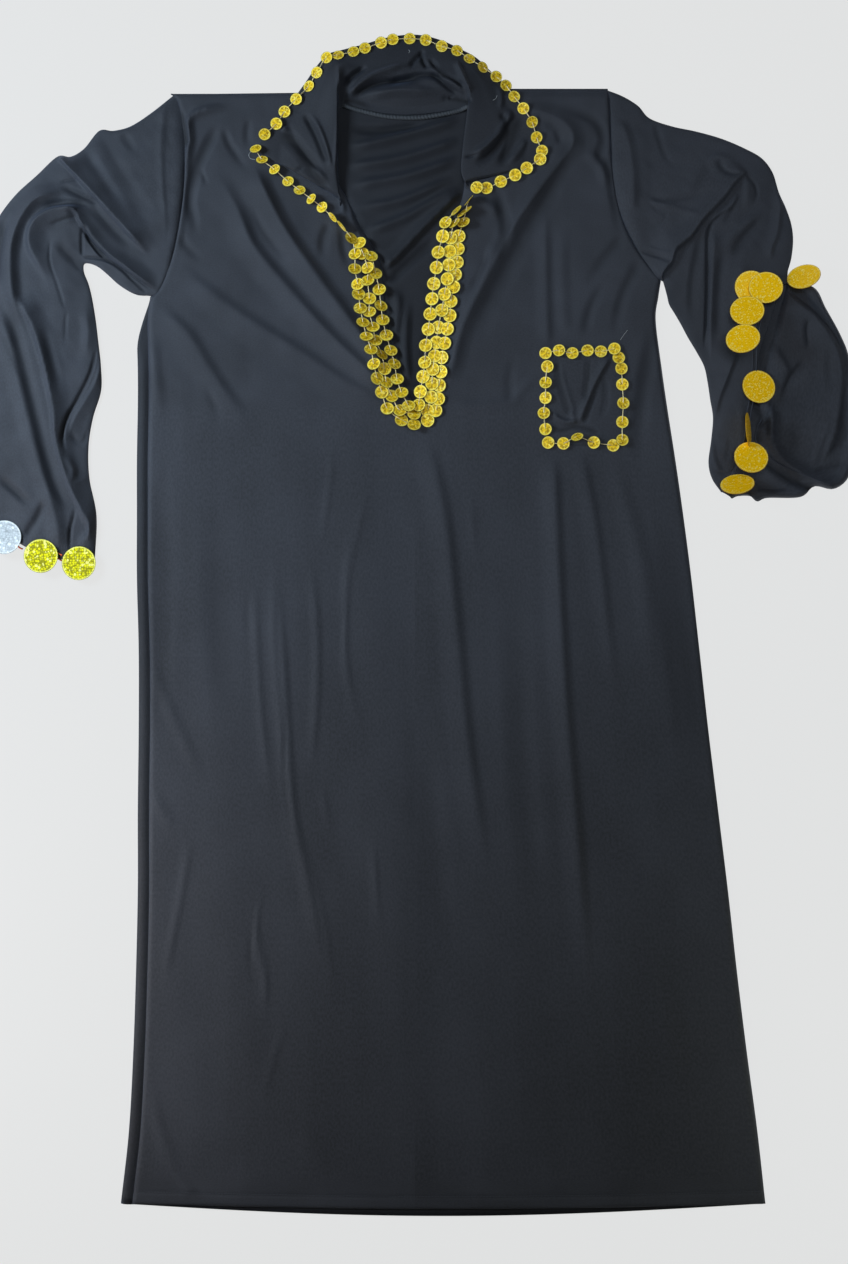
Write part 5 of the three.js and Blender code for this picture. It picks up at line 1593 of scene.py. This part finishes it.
def cuff_discs(name, rows, material, rests_on):
    """Discs laid one after another, each down on the cloth and the discs before it."""
    ground = Ground(rests_on)
    radius = bpy.context.scene.dress_sizes.disc_radius / MM
    template = disc_template(radius * MM, thickness=0.7 * MM, segments=44, crown=0.01)
    bm = bmesh.new()
    for number, (label, x, y, tilt, heading) in rows:
        leant = lean(tilt, heading, 0.7 * number)
        up = 0.0
        for ring in (0.35, 0.7, 1.0):
            reach = radius * ring
            for i in range(DISC_TESTS):
                angle = 2 * math.pi * i / DISC_TESTS
                edge = leant @ Vector((reach * math.cos(angle), reach * math.sin(angle), 0.0))
                up = max(up, ground.height(x + edge.x, y + edge.y) + DISC_CLEAR - edge.z)
        place = shift(x, y, up) @ leant
        add_copy(bm, template, place, number)
        laid = bmesh.new()
        laid.from_mesh(template)
        bmesh.ops.transform(laid, matrix=place, verts=laid.verts)
        ground.trees.append(BVHTree.FromBMesh(laid))
        laid.free()
    bpy.data.meshes.remove(template)
    piece = finish_mesh(bm, name, material)
    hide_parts(*[f"cuff_paillette_{row[1][0]}" for row in rows])


def stitch_line(name, path, pitch, ground, material):
    """Short dark stitches along a line over the cloth, joined in one mesh."""
    path = smooth_path(path, 200)
    share, length = along_path(path)
    count = int(length / pitch)
    bm = bmesh.new()
    for i in range(count):
        ends = np.array([i + 0.14, i + 0.86]) / count
        x = np.interp(ends, share, path[:, 0])
        y = np.interp(ends, share, path[:, 1])
        z = ground.height(float(x.mean()), float(y.mean())) + STITCH_LIFT
        made = bmesh.ops.create_cube(bm, size=1.0)["verts"]
        along = math.atan2(y[1] - y[0], x[1] - x[0])
        long = math.hypot(x[1] - x[0], y[1] - y[0]) * MM
        size = Matrix.Diagonal((long, STITCH_WIDTH * MM, STITCH_HEIGHT * MM, 1.0))
        matrix = shift(x.mean(), y.mean(), z) @ Matrix.Rotation(along, 4, "Z") @ size
        bmesh.ops.transform(bm, matrix=matrix, verts=made)
    bm.loops.layers.uv.new("cloth")
    piece = finish_mesh(bm, name, material)


def loose_threads(name, paths, radius, material, rests_on):
    """Thin threads that lie on the cloth, along paths of millimetre points."""
    ground = Ground(rests_on)
    bm = bmesh.new()
    for path in paths:
        line = smooth_path(path, 6 * len(path))
        lift = ground.heights(line[:, 0], line[:, 1]) + radius + 0.1
        add_cord(bm, np.column_stack([line, lift]), radius)
    piece = finish_mesh(bm, name, material)


# ---------------------------------------------------------------- stage
# Lamps: kind, place, aim, size, power, tint, and the cone's angle of a spot.
LAMPS = {
    "window": ("SPOT", (-1.15, 0.5, 0.85), (-0.82, 0.36, 0.0), 0.25, 120.0, (0.67, 0.83, 1.0), 2.0),
    "side_window": ("AREA", (-0.78, -0.36, 0.34), (-0.38, -0.34, 0.0), 0.4, 4.7, (1.0, 0.97, 0.97), 0),
    "bounce": ("AREA", (0.7, -0.5, 0.3), (0.28, -0.5, 0.0), 0.4, 0.85, (0.97, 1.0, 0.88), 0),
    "ceiling": ("SPOT", (0.35, 0.55, 2.2), (0.34, 0.46, 0.0), 0.6, 144.0, (0.76, 0.86, 1.0), 0.62),
}


def make_floor():
    bm = bmesh.new()
    bmesh.ops.create_grid(bm, x_segments=2, y_segments=2, size=FLOOR_HALF)
    bmesh.ops.translate(bm, vec=(0.0, 0.0, FLOOR_LEVEL), verts=bm.verts)
    mesh = end_mesh(bm, "floor")
    floor = link_new("floor", mesh)
    material, wires, shader = new_material("pale_floor")
    wires.feed(
        shader,
        {
            "Base Color": rgba(bpy.context.scene.dress_colours.floor),
            "Roughness": 0.9,
            "Specular IOR Level": 0.1,
            "Emission Color": (0.94, 0.95, 0.95, 1.0),
            "Emission Strength": 0.78,
        },
    )
    mesh.materials.append(material)


def make_lights():
    bpy.context.scene.view_settings.view_transform = "Standard"
    world = bpy.data.worlds.new("studio")
    world.use_nodes = True
    background = world.node_tree.nodes["Background"]
    background.inputs[0].default_value = (1.0, 0.98, 0.86, 1.0)
    background.inputs[1].default_value = 0.068
    bpy.context.scene.world = world

    for name, (kind, place, aim, size, power, tint, cone) in LAMPS.items():
        data = bpy.data.lights.new(name, kind)
        if kind == "SPOT":
            data.shadow_soft_size = size
            data.spot_size = cone
            data.spot_blend = 1.0
        else:
            data.shape = "DISK"
            data.size = size
        data.energy = power
        data.color = tint
        light = link_new(name, data)
        light.location = place
        way = Vector(aim) - Vector(place)
        light.rotation_mode = "QUATERNION"
        light.rotation_quaternion = way.to_track_quat("-Z", "Y")


def make_camera():
    """Looks straight down, so that the view is VIEW_SIZE wide on the dress's level."""
    data = bpy.data.cameras.new("camera")
    data.sensor_width = 36.0
    data.lens = data.sensor_width * CAMERA_DISTANCE / VIEW_SIZE
    camera = link_new("camera", data)
    camera.location = (0.01008, 0.0, 0.005 + CAMERA_DISTANCE)
    bpy.context.scene.camera = camera


# ---------------------------------------------------------------- add-on
class DressSizes(bpy.types.PropertyGroup):
    """Sizes of the dress that a user would change."""

    cloth_wall: bpy.props.FloatProperty(
        name="Cloth", description="Thickness of the jersey", default=0.0008, unit="LENGTH"
    )
    disc_radius: bpy.props.FloatProperty(
        name="Disc Radius", description="Radius of a cuff disc", default=0.019, unit="LENGTH"
    )
    stitch_pitch: bpy.props.FloatProperty(
        name="Stitch Pitch", description="Length of one stitch", default=0.0034, unit="LENGTH"
    )


def colour_property(name, description, default):
    return bpy.props.FloatVectorProperty(
        name=name, description=description, default=default, subtype="COLOR", min=0.0, max=1.0
    )


class DressColours(bpy.types.PropertyGroup):
    """Colours of the dress's finishes."""

    jersey: colour_property("Jersey", "Darkest tone of the knit", (0.0225, 0.0236, 0.027))
    jersey_worn: colour_property("Jersey Worn", "Lighter tone of the knit", (0.043, 0.046, 0.055))
    coin: colour_property("Coin", "Bright faces of the coins", (1.0, 0.66, 0.018))
    coin_deep: colour_property("Coin Deep", "Pressed parts of the coins", (0.34, 0.2, 0.008))
    coin_glint: colour_property("Coin Glint", "Glints on the coins", (1.0, 0.84, 0.16))
    coin_cord: colour_property("Coin Cord", "Cord that the coins hang on", (0.86, 0.72, 0.38))
    disc: colour_property("Disc", "Bright glitter of the gold discs", (1.0, 0.57, 0.003))
    disc_deep: colour_property("Disc Deep", "Deep glitter of the gold discs", (0.85, 0.44, 0.002))
    lime: colour_property("Lime", "Bright glitter of the pale gold discs", (0.76, 0.7, 0.01))
    lime_deep: colour_property("Lime Deep", "Deep glitter of the pale gold discs", (0.24, 0.22, 0.004))
    silver: colour_property("Silver", "Bright glitter of the silver disc", (0.5, 0.53, 0.54))
    silver_deep: colour_property("Silver Deep", "Deep glitter of the silver disc", (0.25, 0.27, 0.27))
    link: colour_property("Link", "Thread between the cuff discs", (0.75, 0.13, 0.03))
    seam_roll: colour_property("Seam Roll", "Overlock thread of the neck seam", (0.036, 0.041, 0.047))
    lint: colour_property("Lint", "Stray threads on the cloth", (0.32, 0.33, 0.33))
    floor: colour_property("Floor", "Ground that the dress lies on", (0.03, 0.03, 0.03))


class DressOperator:
    bl_options = {"REGISTER", "UNDO"}


class DRESS_OT_stage(DressOperator, bpy.types.Operator):
    """Makes the floor, the light and the camera"""

    bl_idname = "dress.stage"
    bl_label = "Stage"

    def execute(self, context):
        make_floor()
        make_lights()
        make_camera()
        return {"FINISHED"}


class DRESS_OT_body(DressOperator, bpy.types.Operator):
    """Lays the back panel and the front panel"""

    bl_idname = "dress.body"
    bl_label = "Body Panels"

    def execute(self, context):
        # The back panel gets a darker copy of the knit: painted shade, as it lies recessed under the
        # collar and the front.
        back_panel(jersey_material("jersey_back", 0.53))
        front_panel(jersey_material())
        return {"FINISHED"}


class DRESS_OT_sleeves(DressOperator, bpy.types.Operator):
    """Lays both sleeves beside the body"""

    bl_idname = "dress.sleeves"
    bl_label = "Sleeves"

    def execute(self, context):
        left = sleeve("left", jersey_material())
        right = sleeve("right", jersey_material())
        return {"FINISHED"}


class DRESS_OT_neck(DressOperator, bpy.types.Operator):
    """Makes the collar and the rolled seam of the back neck"""

    bl_idname = "dress.neck"
    bl_label = "Collar"

    def execute(self, context):
        collar(jersey_material("jersey_collar", 0.75))
        colours = context.scene.dress_colours
        neck_roll(cord_material("overlock_thread", colours.seam_roll, 0.0, 0.8))
        return {"FINISHED"}


class DRESS_OT_pocket(DressOperator, bpy.types.Operator):
    """Makes the patch pocket on the chest"""

    bl_idname = "dress.pocket"
    bl_label = "Pocket"

    def execute(self, context):
        chest_pocket(jersey_material())
        return {"FINISHED"}


class DRESS_OT_coins(DressOperator, bpy.types.Operator):
    """Sews the rows of coins on the collar, the neck slit and the pocket"""

    bl_idname = "dress.coins"
    bl_label = "Coins"

    def execute(self, context):
        for name, start, rests_on in (
            ("collar_coins", "collar_trim", ["collar_cloth", "front_cloth", "back_cloth"]),
            ("neck_coins_left", "neck_trim_left", ["front_cloth", "back_cloth"]),
            ("neck_coins_right", "neck_trim_right", ["front_cloth", "collar_cloth", "back_cloth"]),
            ("pocket_coins", "pocket_trim", ["front_cloth", "pocket_cloth"]),
        ):
            coin_trim(name, [node for node in COINS if node.startswith(start)], rests_on)
        return {"FINISHED"}


class DRESS_OT_discs(DressOperator, bpy.types.Operator):
    """Hangs the large glitter discs on both cuffs"""

    bl_idname = "dress.discs"
    bl_label = "Cuff Discs"

    def execute(self, context):
        colours = context.scene.dress_colours
        gold = glitter_material(
            "gold_glitter", colours.disc, colours.disc_deep, (1.0, 0.78, 0.15), 0.3, 0.0, 13.0
        )
        pale = glitter_material(
            "pale_glitter", colours.lime, colours.lime_deep, (0.9, 0.86, 0.22), 0.25, 0.9, 7.0
        )
        silver = glitter_material(
            "silver_glitter", colours.silver, colours.silver_deep, (0.75, 0.78, 0.75), 0.3, 0.5, 7.0
        )
        rows = list(enumerate(PAILLETTES))
        shiny = [row for row in rows if row[1][0] == "left_3"]
        plain = [row for row in rows if row[1][0].startswith("left") and row not in shiny]
        right = [row for row in rows if row[1][0].startswith("right")]
        cuff_discs("cuff_discs_left", plain, pale, ["sleeve_left_cloth"])
        below = ["sleeve_left_cloth", "cuff_discs_left"]
        cuff_discs("cuff_disc_silver", shiny, silver, below)
        cuff_discs("cuff_discs_right", right, gold, ["sleeve_right_cloth"])
        return {"FINISHED"}


# Threads that lie on the cloth: paths of points.
LINT = (
    ((230, 327), (234, 333), (238, 338)),
    ((-184, 538), (-186, 534), (-184, 530), (-179, 529)),
    ((87, 594), (90, 596), (92, 600)),
    ((-7, 648), (-6, 650), (-7, 652)),
)
DISC_LINKS = (
    ((-448, 100), (-444, 95), (-440, 93)),
    ((-402, 86), (-398, 81), (-394, 80)),
    ((-404, 91), (-399, 88), (-395, 86)),
)
# The rolled hem of the right cuff: along the lip, beside it, and round the mouth.
CUFF_HEM = (
    tuple((x - 1.5, y) for x, y in CUFF_LIP[1:-2]),
    tuple((x - 6.0, y) for x, y in CUFF_LIP[3:-2]),
    (
        (389, 239), (383, 227), (382, 215), (389, 206), (398, 195), (411, 186), (431, 177),
        (448, 170), (469, 161),
    ),
)


def hem_line():
    """Places of the hem's stitches, HEM_SEAM above its edge."""
    level = HEM + HEM_SEAM
    left, right = -317, 392
    steps = range(-300, right - 1, 23)
    return [(x, level - hem_drop(x, level, left, right, FRONT_HEM_DROP)) for x in steps]


class DRESS_OT_stitching(DressOperator, bpy.types.Operator):
    """Sews the hems, ties the cuff discs and lays the stray threads"""

    bl_idname = "dress.stitching"
    bl_label = "Stitching"

    def execute(self, context):
        pitch = context.scene.dress_sizes.stitch_pitch / MM
        ground = Ground(["front_cloth"])
        thread = jersey_material("sewing_thread", 1.6, 0.7)
        stitch_line("hem_stitches", hem_line(), pitch, ground, thread)
        colours = context.scene.dress_colours
        lint = cord_material("lint", colours.lint, 0.0, 0.8)
        loose_threads("lint_threads", LINT, 0.28, lint, ["front_cloth", "collar_cloth"])
        rolled = jersey_material("rolled_hem", 1.25, 0.7)
        loose_threads("cuff_hem", CUFF_HEM, 0.7, rolled, ["sleeve_right_cloth"])
        link = cord_material("disc_link", colours.link, 0.0, 0.6)
        loose_threads("disc_links", DISC_LINKS, 0.9, link, ["sleeve_left_cloth"])
        return {"FINISHED"}


STEPS = (
    DRESS_OT_stage,
    DRESS_OT_body,
    DRESS_OT_sleeves,
    DRESS_OT_neck,
    DRESS_OT_pocket,
    DRESS_OT_coins,
    DRESS_OT_discs,
    DRESS_OT_stitching,
)


class DRESS_PT_panel(bpy.types.Panel):
    """Lists the dress's steps, sizes and colours"""

    bl_label = "Coin Trimmed Dress"
    bl_idname = "DRESS_PT_panel"
    bl_space_type = "VIEW_3D"
    bl_region_type = "UI"
    bl_category = "Dress"

    def draw(self, context):
        for step in STEPS:
            self.layout.operator(step.bl_idname)
        for group in (context.scene.dress_sizes, context.scene.dress_colours):
            for key in group.bl_rna.properties.keys():
                if key not in {"rna_type", "name"}:
                    self.layout.prop(group, key)


CLASSES = (DressSizes, DressColours, *STEPS, DRESS_PT_panel)


def register():
    for each in CLASSES:
        bpy.utils.register_class(each)
    bpy.types.Scene.dress_sizes = bpy.props.PointerProperty(type=DressSizes)
    bpy.types.Scene.dress_colours = bpy.props.PointerProperty(type=DressColours)


def unregister():
    del bpy.types.Scene.dress_colours
    del bpy.types.Scene.dress_sizes
    for each in reversed(CLASSES):
        bpy.utils.unregister_class(each)


def main():
    register()
    for step in STEPS:
        group, name = step.bl_idname.split(".")
        getattr(getattr(bpy.ops, group), name)()


if __name__ == "__main__":
    main()
